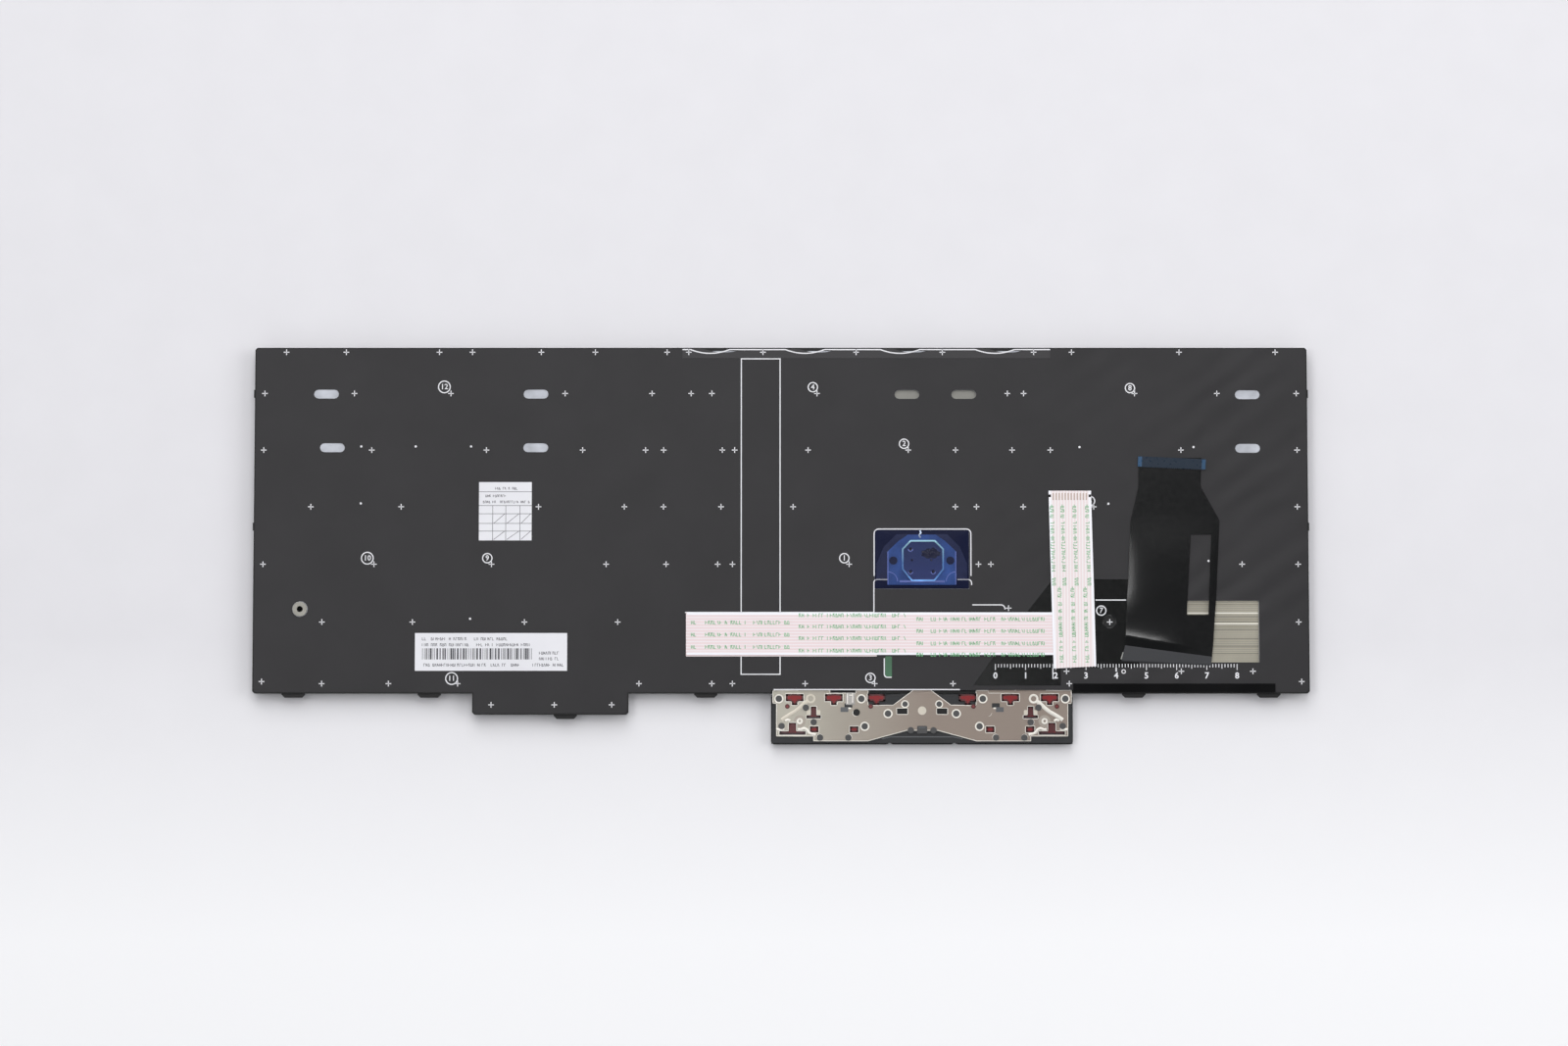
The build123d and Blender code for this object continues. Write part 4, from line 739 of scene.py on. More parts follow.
@dataclass
class Studio:
    """Floor, lights and camera."""

    aim: tuple[float, float, float] = (1.0, 7.4, 5.3)
    distance: float = 1353.0
    elevation: float = 85.6
    view_width: float = 520.4
    sensor: float = 36.0
    floor_size: float = 6000.0
    SKY_COLOUR = (0.97, 0.98, 1.0, 1.0)
    SKY_FADE = (("From Min", 0.35), ("From Max", 0.97), ("To Min", 0.62), ("To Max", 0.16))
    LAMPS = (("key_light", (-150.0, 1150.0, 1300.0), 1500.0, 17.4),
             ("left_light", (-650.0, 60.0, 1450.0), 450.0, 3.5),
             ("right_light", (1300.0, 200.0, 1000.0), 1000.0, 8.0),
             ("glint_light", (-20.0, 10.0, 1450.0), 110.0, 0.8),
             ("crest_light", (240.0, 430.0, 1420.0), 150.0, 1.4))

    def set_up(self) -> None:
        """Builds the floor, the lights and the camera."""
        self.lay_floor()
        self.light()
        self.place_camera()

    def lay_floor(self) -> None:
        """Lays a pale floor under the keys, with painted shade that darkens it towards the function row."""
        half = self.floor_size / 2 * MM
        mesh = bpy.data.meshes.new("floor")
        mesh.from_pydata([(-half, -half, 0), (half, -half, 0), (half, half, 0), (-half, half, 0)], [], [(0, 1, 2, 3)])
        mesh.materials.append(SHADED_FLOOR.material())
        put("floor", mesh)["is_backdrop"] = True

    def light(self) -> None:
        """Sets soft lamps and an even world that is dimmer overhead."""
        world = bpy.data.worlds.new("studio")
        bpy.context.scene.world = world
        world.use_nodes = True
        nodes, links = world.node_tree.nodes, world.node_tree.links
        direction = nodes.new("ShaderNodeTexCoord").outputs["Generated"]
        split = nodes.new("ShaderNodeSeparateXYZ")
        links.new(direction, split.inputs[0])
        ramp = nodes.new("ShaderNodeMapRange")
        for socket, value in self.SKY_FADE:
            ramp.inputs[socket].default_value = value
        links.new(split.outputs["Z"], ramp.inputs["Value"])
        shade = nodes["Background"]
        shade.inputs["Color"].default_value = self.SKY_COLOUR
        links.new(ramp.outputs[0], shade.inputs["Strength"])
        for lamp in self.LAMPS:
            self.lamp(*lamp)

    def lamp(self, name: str, place: tuple[float, float, float], size: float, power: float) -> None:
        """Hangs a square lamp that faces the keyboard."""
        data = bpy.data.lights.new(name, "AREA")
        data.size, data.energy = size * MM, power
        lamp = put(name, data)
        lamp.location = Vector(place) * MM
        lamp.rotation_euler = (-lamp.location).to_track_quat("-Z", "Y").to_euler()

    def place_camera(self) -> None:
        """Looks down at the rear from a little in front, over the frame's width."""
        data = bpy.data.cameras.new("camera")
        data.sensor_width = self.sensor
        data.lens = self.sensor * self.distance / self.view_width
        data.clip_start, data.clip_end = 0.01, 20.0
        camera = put("camera", data)
        tilt = math.radians(self.elevation)
        offset = Vector((0.0, -math.cos(tilt), math.sin(tilt))) * self.distance
        camera.location = (Vector(self.aim) + offset) * MM
        camera.rotation_euler = (math.pi / 2 - tilt, 0.0, 0.0)
        bpy.context.scene.camera = camera


def glyphs(start: float, end: float, v: float, height: float, seed: int) -> Array:
    """Draws an unreadable line of print: words of upright, level and slanting bars at random.

    Args:
        start: where the line starts along its run.
        end: where it ends.
        v: the middle of its height.
        height: its letters' height.
        seed: what its marks are drawn from.

    Returns:
        One (x0, y0, x1, y1) for each bar.
    """
    draw = np.random.default_rng(seed)
    pitch = height * 0.78
    places = np.arange(start, end, pitch)
    places = places[draw.random(len(places)) > 0.16]
    half, wide = height / 2, height * 0.5
    middles = np.full_like(places, v)
    upright = np.stack([places, middles - half, places, middles + half], 1)
    level = draw.choice([-half, 0.0, half], len(places)) * 0.9
    flat = np.stack([places, middles + level, places + wide, middles + level], 1)
    slant = np.stack([places + wide, middles - half, places + wide * draw.random(len(places)), middles + half], 1)
    return np.concatenate([upright, flat[draw.random(len(flat)) > 0.2], slant[draw.random(len(slant)) > 0.45]])


class GlossPatch:
    """The glossy black film under the cable's corner and the flex: one long curved side and a stepped foot."""

    HEAD, FOOT = (90.2, 77.2), (63.6, 112.4)
    BULGE = (75.2, 96.4)
    RIGHT, STEP_X, STEP_V = 118.5, 92.6, 106.5

    def __init__(self, frame: Frame) -> None:
        """Takes the patch's levels from its solid."""
        low, high = frame.box("tail_cover_film")
        self.low, self.top = low[2], high[2]

    def side(self, v: Array) -> Array:
        """Gives the curved side: X as the parabola in v through its two ends and its bulge."""
        spots = np.array([self.HEAD, self.BULGE, self.FOOT])
        return np.polyval(np.polyfit(spots[:, 1], spots[:, 0], 2), v)

    def holds(self, x: Array, v: Array) -> Array:
        """Tells which places lie on the patch."""
        level = (v > self.HEAD[1]) & (v < self.FOOT[1])
        return level & (x > self.side(v)) & (x < np.where(v < self.STEP_V, self.RIGHT, self.STEP_X))

    def shape(self, frame: Frame) -> Shape:
        """Stands the patch's outline up."""
        v = np.linspace(self.HEAD[1], self.FOOT[1], 24)
        curve = np.column_stack([self.side(v), v])
        steps = np.array([(self.STEP_X, self.FOOT[1]), (self.STEP_X, self.STEP_V), (self.RIGHT, self.STEP_V),
                          (self.RIGHT, self.HEAD[1])])
        outline = np.concatenate([curve, steps])
        return slab(frame.plan(outline), self.low, self.top)


@dataclass
class RearFilm:
    """The printed skin over the plate, with its marks, its edge tape and what shows through its windows."""

    ink: float = 0.02
    line: float = 0.36
    cross: float = 1.9
    cross_line: float = 0.3
    dot: float = 0.75
    ring: float = 3.1
    wide_ring: float = 3.9
    digit: float = 1.75
    frame_low: tuple[float, float] = (-13.2, 3.7)
    frame_high: tuple[float, float] = (-0.3, 108.7)
    rule_start: tuple[float, float] = (70.95, 105.3)
    rule_length: int = 80
    rule_digit: float = 2.0
    rule_digit_v: float = 109.2
    scallops: tuple[float, ...] = (-23.6, 8.0, 39.6, 71.2)
    scallop_width: float = 13.0
    scallop_depth: float = 1.25
    edge_run: tuple[float, float] = (-32.8, 89.6)
    edge_width: float = 0.38
    edge_v: float = 0.62
    tape_foot: float = 4.0
    trace_pitch: float = 0.62

    CROSS_ROWS = (
        (1.5, (-164.6, -144.7, -113.7, -102.7, -79.8, -61.8, -37.9, -30.7, -6.0, 25.0, 53.7, 84.1, 96.7, 132.5,
               164.5)),
        (15.3, (-171.7, -141.9, -109.8, -71.8, -42.9, -29.9, -23.0, 12.0, 75.3, 80.7, 117.6, 145.0, 171.4)),
        (34.2, (-171.9, -136.0, -97.9, -65.9, -45.0, -39.0, -19.5, -15.4, 9.0, 42.3, 58.0, 76.8, 89.5, 132.9,
                171.5)),
        (53.1, (-156.1, -126.1, -80.5, -52.0, -39.0, -19.9, 4.0, 57.9, 64.9, 80.4, 103.8, 171.4)),
        (72.2, (-171.8, -135.0, -96.0, -58.0, -38.1, -21.0, -16.1, 22.6, 65.5, 69.6, 152.9, 171.5)),
        (86.8, (75.4,)),
        (91.4, (-152.1, -122.1, -85.0, -54.1, 108.9, 171.5)),
        (107.7, (94.5, 132.5, 156.2)),
        (111.1, (-171.9, 172.3)),
        (111.8, (-152.0, -129.9, -107.0, -47.0, -22.9, -16.1, 8.0, 31.0, 56.9, 95.4)),
        (118.8, (-95.9, -75.0, -56.0)),
    )
    DOTS = ((-139.5, 33.0), (-121.4, 33.0), (-103.0, 33.0), (-139.5, 52.0), (-103.0, 90.3), (99.2, 33.2),
            (137.1, 33.2), (108.7, 52.1), (141.8, 71.1))
    STICK_LINE = ((30.9, 76.1), (30.9, 60.5), (63.0, 60.5), (63.0, 76.1))
    GUIDE = ((-31.8, 88.2), (30.8, 88.2), (30.8, 77.3), (35.5, 77.3))
    HOOKS = (((58.5, 77.3), (63.2, 77.3), (63.2, 79.1), 1.2), ((63.4, 85.7), (74.2, 85.7), (74.2, 87.2), 1.3))
    # The last line, along the bracket's top edge, is a painted highlight in white ink, not print.
    LINES = ((104.2, 84.1, 114.4, 84.1), (90.0, 106.0, 90.0, 110.2), (-2.4, 113.75, 59.2, 113.75))
    TICKS = (2.0, 1.5, 1.1)
    BOLD_TICK = (40, 2.5, 0.5)
    OPEN_RING = (113.4, 107.8)
    SLOT, SLOT_SIZE = (35.6, 106.2), (2.2, 7.0)
    SLOT_WRAP = ((34.2, 103.4), (34.2, 109.7), (36.6, 109.7), 1.0)
    TRACE_ENDS = (133.0, 158.2)
    TRACE_RUN = (84.6, 104.6)
    BRIGHT_TRACES = (88.4, 91.9)
    DARK_TRACES = (85.6, 89.6, 90.5, 91.3, 93.0, 93.9, 96.9, 99.4, 101.8)
    NUMBERS = ((12, -112.0, 13.1), (4, 10.6, 13.2), (8, 116.1, 13.5), (2, 40.9, 32.1), (10, -137.2, 70.2),
               (9, -97.4, 70.2), (1, 21.0, 70.2), (7, 106.1, 87.6), (11, -109.0, 110.1), (3, 29.6, 109.9),
               (6, 102.6, 51.2))

    def build(self, frame: Frame) -> None:
        """Dresses the film and prints its marks."""
        frame.dress(FILM, "rear_film")
        frame.dress(TAPE, "edge_tape")
        frame.dress(PLATE_STEEL, "base_plate")
        frame.dress(MEMBRANE, "membrane", "button_switch_board")
        self.film_top = frame.top("rear_film")
        self.patch = GlossPatch(frame)
        self.tape_low, self.tape_high = frame.box("edge_tape")
        marks = [self.crosses(frame), self.dots(frame), self.numbers(frame), self.outlines(frame), self.ruler(frame)]
        make_piece("film_print", join(*marks), [INK])
        make_piece("tape_edge", self.scalloped_edge(frame), [INK])
        make_piece("membrane_traces", self.traces(frame), [TRACE, TRACE_BRIGHT, TRACE_DARK])
        make_piece("film_slot", self.slot(frame), [GREEN_SLOT, INK])

    def heights(self, x: Array, v: Array) -> Array:
        """Gives the height of the surface under each place: the glossy patch, the tape or the film."""
        taped = (x > self.tape_low[0]) & (x < self.tape_high[0]) & (v < self.tape_foot)
        return np.where(self.patch.holds(x, v), self.patch.top, np.where(taped, self.tape_high[2], self.film_top))

    def print_lines(self, frame: Frame, lines: Array, width: float) -> Shape:
        """Prints straight lines given as (x0, v0, x1, v1), each on the surface under its middle."""
        lines = np.asarray(lines, float)
        levels = self.heights((lines[:, 0] + lines[:, 2]) / 2, (lines[:, 1] + lines[:, 3]) / 2)
        placed = lines.copy()
        placed[:, 1::2] = frame.y(lines[:, 1::2])
        parts = [strokes(placed[levels == z], width, z, z + self.ink) for z in np.unique(levels)]
        return join(*parts)

    def crosses(self, frame: Frame) -> Shape:
        """Prints the rows of small crosses."""
        places = np.array([(x, v) for v, row in self.CROSS_ROWS for x in row])
        half = self.cross / 2
        level = np.concatenate([places - [half, 0], places + [half, 0]], 1)
        upright = np.concatenate([places - [0, half], places + [0, half]], 1)
        return self.print_lines(frame, np.concatenate([level, upright]), self.cross_line)

    def dots(self, frame: Frame) -> Shape:
        """Prints the white dots and the small open ring on the ruler."""
        low, high = self.film_top, self.film_top + self.ink
        ring_x, ring_v = self.OPEN_RING
        ring = ribbon(oval(1.2, 1.2, 16), 0.3, low, high, True)
        dots = disc(self.dot, low, high, 12).scattered(frame.plan(np.array(self.DOTS)))
        return join(dots, ring.moved(ring_x, frame.y(ring_v)))

    def numbers(self, frame: Frame) -> Shape:
        """Prints the ringed numbers."""
        parts = []
        for number, x, v in self.NUMBERS:
            size = self.wide_ring if number > 9 else self.ring
            low = float(self.heights(np.array(x), np.array(v)))
            ring = ribbon(oval(size, size, 32), self.line, low, low + self.ink, True)
            digits = letters(str(number), self.digit, low, low + self.ink, 0.03)
            parts += [ring.moved(x, frame.y(v)), digits.moved(x, frame.y(v))]
        return join(*parts)

    def outlines(self, frame: Frame) -> Shape:
        """Prints the tall frame, the stick window's lines and the cable's guide lines, and paints a highlight by the
        bracket.
        """
        low, high = self.film_top, self.film_top + self.ink
        (x0, v0), (x1, v1) = self.frame_low, self.frame_high
        tall = np.array([(x0, v1), (x1, v1), (x1, v0), (x0, v0)])
        round_left, round_right = self.bend(*self.STICK_LINE[:3]), self.bend(*self.STICK_LINE[1:])
        guide = self.bend(*self.GUIDE[1:], 1.0)
        paths = [np.concatenate([round_left[:-1], round_right[1:]]), np.concatenate([self.GUIDE[:1], guide]),
                 *[self.bend(*hook) for hook in self.HOOKS]]
        parts = [ribbon(frame.plan(path), self.line, low, high) for path in paths]
        return join(ribbon(frame.plan(tall), self.line, low, high, True), *parts,
                    self.print_lines(frame, np.array(self.LINES), self.line))

    def bend(self, start: tuple, corner: tuple, end: tuple, radius: float = 1.5, steps: int = 6) -> Array:
        """Gives a path with one corner rounded by a quarter circle."""
        start, corner, end = np.array(start), np.array(corner), np.array(end)
        back = (start - corner) / np.linalg.norm(start - corner)
        onward = (end - corner) / np.linalg.norm(end - corner)
        turn = np.linspace(0, math.pi / 2, steps)[:, None]
        arc = corner + radius * ((1 - np.sin(turn)) * back + (1 - np.cos(turn)) * onward)
        return np.concatenate([[start], arc, [end]])

    def ruler(self, frame: Frame) -> Shape:
        """Prints the centimetre ruler: a tick for each millimetre, longer at fives and tens, and digits."""
        x0, v0 = self.rule_start
        step = np.arange(self.rule_length + 1)
        tens, fives, ones = self.TICKS
        reach = np.where(step % 10 == 0, tens, np.where(step % 5 == 0, fives, ones))
        start = np.full(len(step), v0)
        ticks = self.print_lines(frame, np.stack([x0 + step, start, x0 + step, start + reach], 1), 0.26)
        digits = []
        for number in range(self.rule_length // 10 + 1):
            x = x0 + 10 * number
            low = float(self.heights(np.array(x), np.array(self.rule_digit_v)))
            digit = letters(str(number), self.rule_digit, low, low + self.ink, 0.07)
            digits.append(digit.moved(x, frame.y(self.rule_digit_v)))
        place, length, width = self.BOLD_TICK
        bold = self.print_lines(frame, np.array([(x0 + place, v0, x0 + place, v0 + length)]), width)
        return join(ticks, bold, *digits)

    def scalloped_edge(self, frame: Frame) -> Shape:
        """Follows the tape's pale cut edge: straight along the rim, with a shallow arc at each scallop."""
        x = np.linspace(*self.edge_run, 400)
        share = np.abs(x[:, None] - np.array(self.scallops)) / (self.scallop_width / 2)
        dip = self.scallop_depth * np.sum(np.clip(1 - share**2, 0, None), 1)
        low = self.tape_high[2]
        path = np.column_stack([x, frame.y(self.edge_v + dip)])
        return ribbon(path, self.edge_width, low, low + self.ink)

    def traces(self, frame: Frame) -> Shape:
        """Lays the silver traces that show in the trace window, two of them bright."""
        low = frame.top("membrane")
        left, right = self.TRACE_ENDS
        parts = []
        plain = np.arange(*self.TRACE_RUN, self.trace_pitch)
        for tone, places, width, rise in ((0, plain, self.trace_pitch * 0.72, 0.02),
                                          (1, self.BRIGHT_TRACES, 0.45, 0.04), (2, self.DARK_TRACES, 0.24, 0.03)):
            lines = np.array([(left, frame.y(v), right, frame.y(v)) for v in places])
            parts.append(strokes(lines, width, low, low + rise).painted(tone))
        return join(*parts)

    def slot(self, frame: Frame) -> Shape:
        """Fills the narrow lacquered slot by the cable and prints the line that wraps its side."""
        low = self.film_top
        x, v = self.SLOT
        outline = rounded(*self.SLOT_SIZE, 0.5) + [x, frame.y(v)]
        wrap = ribbon(frame.plan(self.bend(*self.SLOT_WRAP)), self.line, low, low + self.ink)
        return join(slab(outline, low, low + self.ink / 2), wrap.painted(1))


@dataclass
class Labels:
    """The two paper labels: a ruled table, and a bar code with lines of print."""

    ink: float = 0.012
    rule: float = 0.16
    rows: tuple[float, ...] = (0.166, 0.403, 0.543, 0.709, 0.841)
    columns: tuple[float, ...] = (0.261, 0.509, 0.778)
    bar_zone: tuple[float, float, float, float] = (0.045, 0.404, 0.767, 0.7)
    bar_count: int = 58
    TABLE_LINES = ((4.8, 4.6, 2.1), (2.2, 9.0, 4.6), (1.4, 0.8, 6.6))
    LINES = ((0.048, 0.347, 0.154), (0.39, 0.60, 0.154), (0.048, 0.347, 0.312), (0.39, 0.754, 0.312),
             (0.059, 0.46, 0.846), (0.50, 0.68, 0.846), (0.817, 0.94, 0.53), (0.817, 0.94, 0.68),
             (0.775, 0.97, 0.846))

    def build(self, frame: Frame) -> None:
        """Dresses the labels and prints them."""
        frame.dress(PAPER, "label_small", "label_long")
        make_piece("label_small_print", self.table(frame), [LABEL_INK])
        make_piece("label_long_print", self.bars(frame), [BAR_INK, LABEL_INK])

    def on_label(self, frame: Frame, node: str, lines: Array, width: float) -> Shape:
        """Prints lines given as shares of a label's width and height, from its upper left corner."""
        low, high = frame.box(node)
        lines = np.asarray(lines, float)
        placed = np.empty_like(lines)
        placed[:, 0::2] = low[0] + lines[:, 0::2] * (high[0] - low[0])
        placed[:, 1::2] = high[1] - lines[:, 1::2] * (high[1] - low[1])
        return strokes(placed, width, high[2], high[2] + self.ink)

    def table(self, frame: Frame) -> Shape:
        """Rules the small label into a table whose lower cells are struck through."""
        level = [(0.0, row, 1.0, row) for row in self.rows]
        upright = [(column, self.rows[1], column, 1.0) for column in self.columns]
        sides = (*self.columns, 1.0)
        struck = [(left + 0.02, low, right - 0.02, high)
                  for low, high in ((self.rows[3], self.rows[2]), (0.985, self.rows[4]))
                  for left, right in zip(sides, sides[1:])]
        low, high = frame.box("label_small")
        lines = np.concatenate([glyphs(low[0] + left, high[0] - right, high[1] - down, 0.8, seed)
                                for seed, (left, right, down) in enumerate(self.TABLE_LINES, 3)])
        return join(self.on_label(frame, "label_small", np.array(level + upright + struck), self.rule),
                    strokes(lines, 0.14, high[2], high[2] + self.ink))

    def bars(self, frame: Frame) -> Shape:
        """Prints a row of bars of random width and unreadable lines above and below it."""
        draw = np.random.default_rng(11)
        low, high = frame.box("label_long")
        width, length = (high - low)[:2]
        x0, top, x1, foot = self.bar_zone
        edges = np.cumsum(draw.choice([0.22, 0.22, 0.44, 0.66], 2 * self.bar_count))
        edges = low[0] + width * (x0 + (x1 - x0) * edges / edges[-1])
        middles, widths = (edges[0:-1:2] + edges[1::2]) / 2, edges[1::2] - edges[0:-1:2]
        parts = []
        for size in np.unique(np.round(widths, 2)):
            chosen = middles[np.round(widths, 2) == size]
            lines = np.stack([chosen, np.full_like(chosen, high[1] - top * length), chosen,
                              np.full_like(chosen, high[1] - foot * length)], 1)
            parts.append(strokes(lines, float(size), high[2], high[2] + self.ink))
        prints = [glyphs(low[0] + start * width, low[0] + end * width, high[1] - share * length, 0.95, seed)
                  for seed, (start, end, share) in enumerate(self.LINES)]
        words = strokes(np.concatenate(prints), 0.16, high[2], high[2] + self.ink)
        return join(*parts, words.painted(1))


@dataclass
class FlatCable:
    """The white flat cable: a leaf folded back over itself, a rise with contacts, and rows of green print."""

    thickness: float = 0.15
    edge: float = 0.8
    skew: float = 0.5
    letter: float = 1.2
    stroke: float = 0.22
    contact_pitch: float = 1.0
    contacts: int = 12
    contact_length: float = 2.3
    ink: float = 0.014
    lean: float = 1.4
    rise_width: float = 14.1
    border_gap: float = 14.0
    print_gap: float = 15.2
    WORDS = ((-29.7, 2.5, (91.6, 95.6, 99.7)), (6.0, 41.5, (89.2, 92.95, 96.8, 100.9)),
             (45.0, 88.0, (90.45, 94.4, 98.5, 102.2)))
    UPPER_COLUMNS = (0.9, 4.4, 8.4, 12.6)
    LOWER_COLUMNS = (2.7, 7.0, 11.2)
    UPPER_RUN, LOWER_RUN = (79.2, 52.4), (105.6, 80.0)

    def build(self, frame: Frame) -> None:
        """Replaces the cable's solid by its leaves and prints them."""
        low, high = frame.box("ffc_cable")
        self.left, self.right = low[0], high[0]
        self.foot, self.head = low[1], high[1]
        levels = frame.flat_faces("ffc_cable", low[2])
        self.leaf_low, self.leaf_high = levels.reshape(-1, 2).min(0), levels.reshape(-1, 2).max(0)
        self.bottom, self.top = low[2], high[2]
        run, rise = self.run(), self.rise()
        make_piece("flat_cable", join(run, rise, self.borders()), [CABLE_RUN, CABLE_RISE, CABLE_EDGE],
                   replaces=("ffc_cable",))
        make_piece("cable_print", self.print_rows(frame), [GREEN_INK])
        make_piece("cable_contacts", self.fingers(), [CONTACT, GLUE_AND_GAP_SHADE])

    def run(self) -> Shape:
        """Sweeps the run: the lower leaf, a half turn at its end and the upper leaf back over it."""
        upper = self.top - 2 * self.thickness
        lower = self.bottom + self.thickness
        lift = (upper - lower) / 2
        start = self.left + self.thickness + lift
        turn = np.linspace(0, math.pi, 9)
        fold_x, fold_z = start - lift * np.sin(turn), lower + lift - lift * np.cos(turn)
        back = np.linspace(start, self.leaf_high[0], 12)[1:][::-1]
        onward = np.linspace(start, self.right - 1.0, 40)[1:]
        x = np.concatenate([back, fold_x, onward])
        z = np.concatenate([np.full_like(back, lower), fold_z, np.full_like(onward, upper)])
        along = directions(np.column_stack([x, z]), False)
        across = np.linspace(self.leaf_low[1], self.leaf_high[1], 8)
        shift = np.interp(np.arange(len(x)), [len(back), len(back) + len(turn)], [0.0, self.skew])
        rows = np.stack([np.broadcast_to(x[:, None], (len(x), 8)), across[None] + shift[:, None],
                         np.broadcast_to(z[:, None], (len(x), 8))], -1)
        up = np.stack([along[:, 1], np.zeros(len(x)), -along[:, 0]], -1)
        return leaf(rows, -up, self.thickness)

    def rise(self) -> Shape:
        """Sweeps the rise from the contacts down to the corner, leaning a little."""
        v = np.linspace(1, 0, 24)
        left, right = self.rise_edges(v)
        share = np.linspace(0, 1, 8)
        plan = left[:, None] * (1 - share[None, :, None]) + right[:, None] * share[None, :, None]
        z = self.top - self.thickness + 0 * v
        rows = np.concatenate([plan, np.broadcast_to(z[:, None, None], (24, 8, 1))], -1)
        return leaf(rows, UP, self.thickness).painted(1)

    def rise_edges(self, share: Array) -> tuple[Array, Array]:
        """Gives points on the rise's left and right edge at shares of its height."""
        share = np.asarray(share)[:, None]
        foot_left = np.array([self.right - self.rise_width, self.foot])
        foot_right = np.array([self.right, self.foot + self.lean / 2])
        head_left = np.array([self.right - self.rise_width - self.lean, self.head])
        head_right = np.array([self.right - self.lean, self.head])
        return between((foot_left, head_left), share), between((foot_right, head_right), share)

    def borders(self) -> Shape:
        """Lays the plain white borders along the cable's edges."""
        low = self.top - self.thickness
        y0, y1 = self.leaf_low[1] + self.skew + self.edge / 2, self.leaf_high[1] + self.skew - self.edge / 2
        lines = np.array([(self.left + 0.4, y, self.right - self.border_gap, y) for y in (y0, y1)])
        left, right = self.rise_edges(np.array([0.0, 1.0]))
        inset = np.array([self.edge / 2, 0.0])
        sides = np.array([[*(left[0] + inset), *(left[1] + inset)], [*(right[0] - inset), *(right[1] - inset)]])
        return join(strokes(lines, self.edge, low - 0.02, low + 0.006).painted(2),
                    strokes(sides, self.edge, self.top - 0.02, self.top + 0.006).painted(2))

    def print_rows(self, frame: Frame) -> Shape:
        """Prints rows of unreadable green marks along the run and in columns up the rise."""
        low = self.top - self.thickness
        parts = []
        for seed, (start, end, rows) in enumerate(self.WORDS):
            for v in rows:
                lines = self.words(start, min(end, self.right - self.print_gap), frame.y(v), seed)
                parts.append(strokes(lines, self.stroke, low, low + self.ink))
        for columns, start, end in ((self.UPPER_COLUMNS, *self.UPPER_RUN), (self.LOWER_COLUMNS, *self.LOWER_RUN)):
            for offset in columns:
                lines = self.words(frame.y(start), frame.y(end), 0.0, len(columns))
                share = (lines[:, 0::2] - self.foot) / (self.head - self.foot)
                x = self.rise_edges(share.ravel())[0][:, 0].reshape(share.shape) + offset
                upright = np.stack([x[:, 0] - lines[:, 1], lines[:, 0], x[:, 1] - lines[:, 3], lines[:, 2]], 1)
                parts.append(strokes(upright, self.stroke, self.top, self.top + self.ink))
        return join(*parts)

    def words(self, start: float, end: float, y: float, seed: int) -> Array:
        """Gives one row of marks, broken into words of uneven length."""
        lines = glyphs(start, end, y, self.letter, seed)
        phase = (lines[:, 0] - start) % 13.0
        return lines[(phase < 3.4) | ((phase > 4.4) & (phase < 8.0)) | (phase > 8.9)]

    def fingers(self) -> Shape:
        """Lays the tinned contacts across the end of the rise and paints shade into the notch at each side."""
        left, right = self.rise_edges(np.array([1.0]))
        middle = (left[0] + right[0]) / 2
        x = middle[0] + (np.arange(self.contacts) - (self.contacts - 1) / 2) * self.contact_pitch
        head = self.head - 0.8
        lines = np.stack([x, np.full_like(x, head - self.contact_length), x, np.full_like(x, head)], 1)
        notch = self.head - 1.7
        notches = np.array([(left[0][0], notch, left[0][0] + 0.8, notch),
                            (right[0][0] - 0.8, notch, right[0][0], notch)])
        return join(strokes(lines, 0.5, self.top, self.top + 0.02),
                    strokes(notches, 0.9, self.top, self.top + 0.02).painted(1))


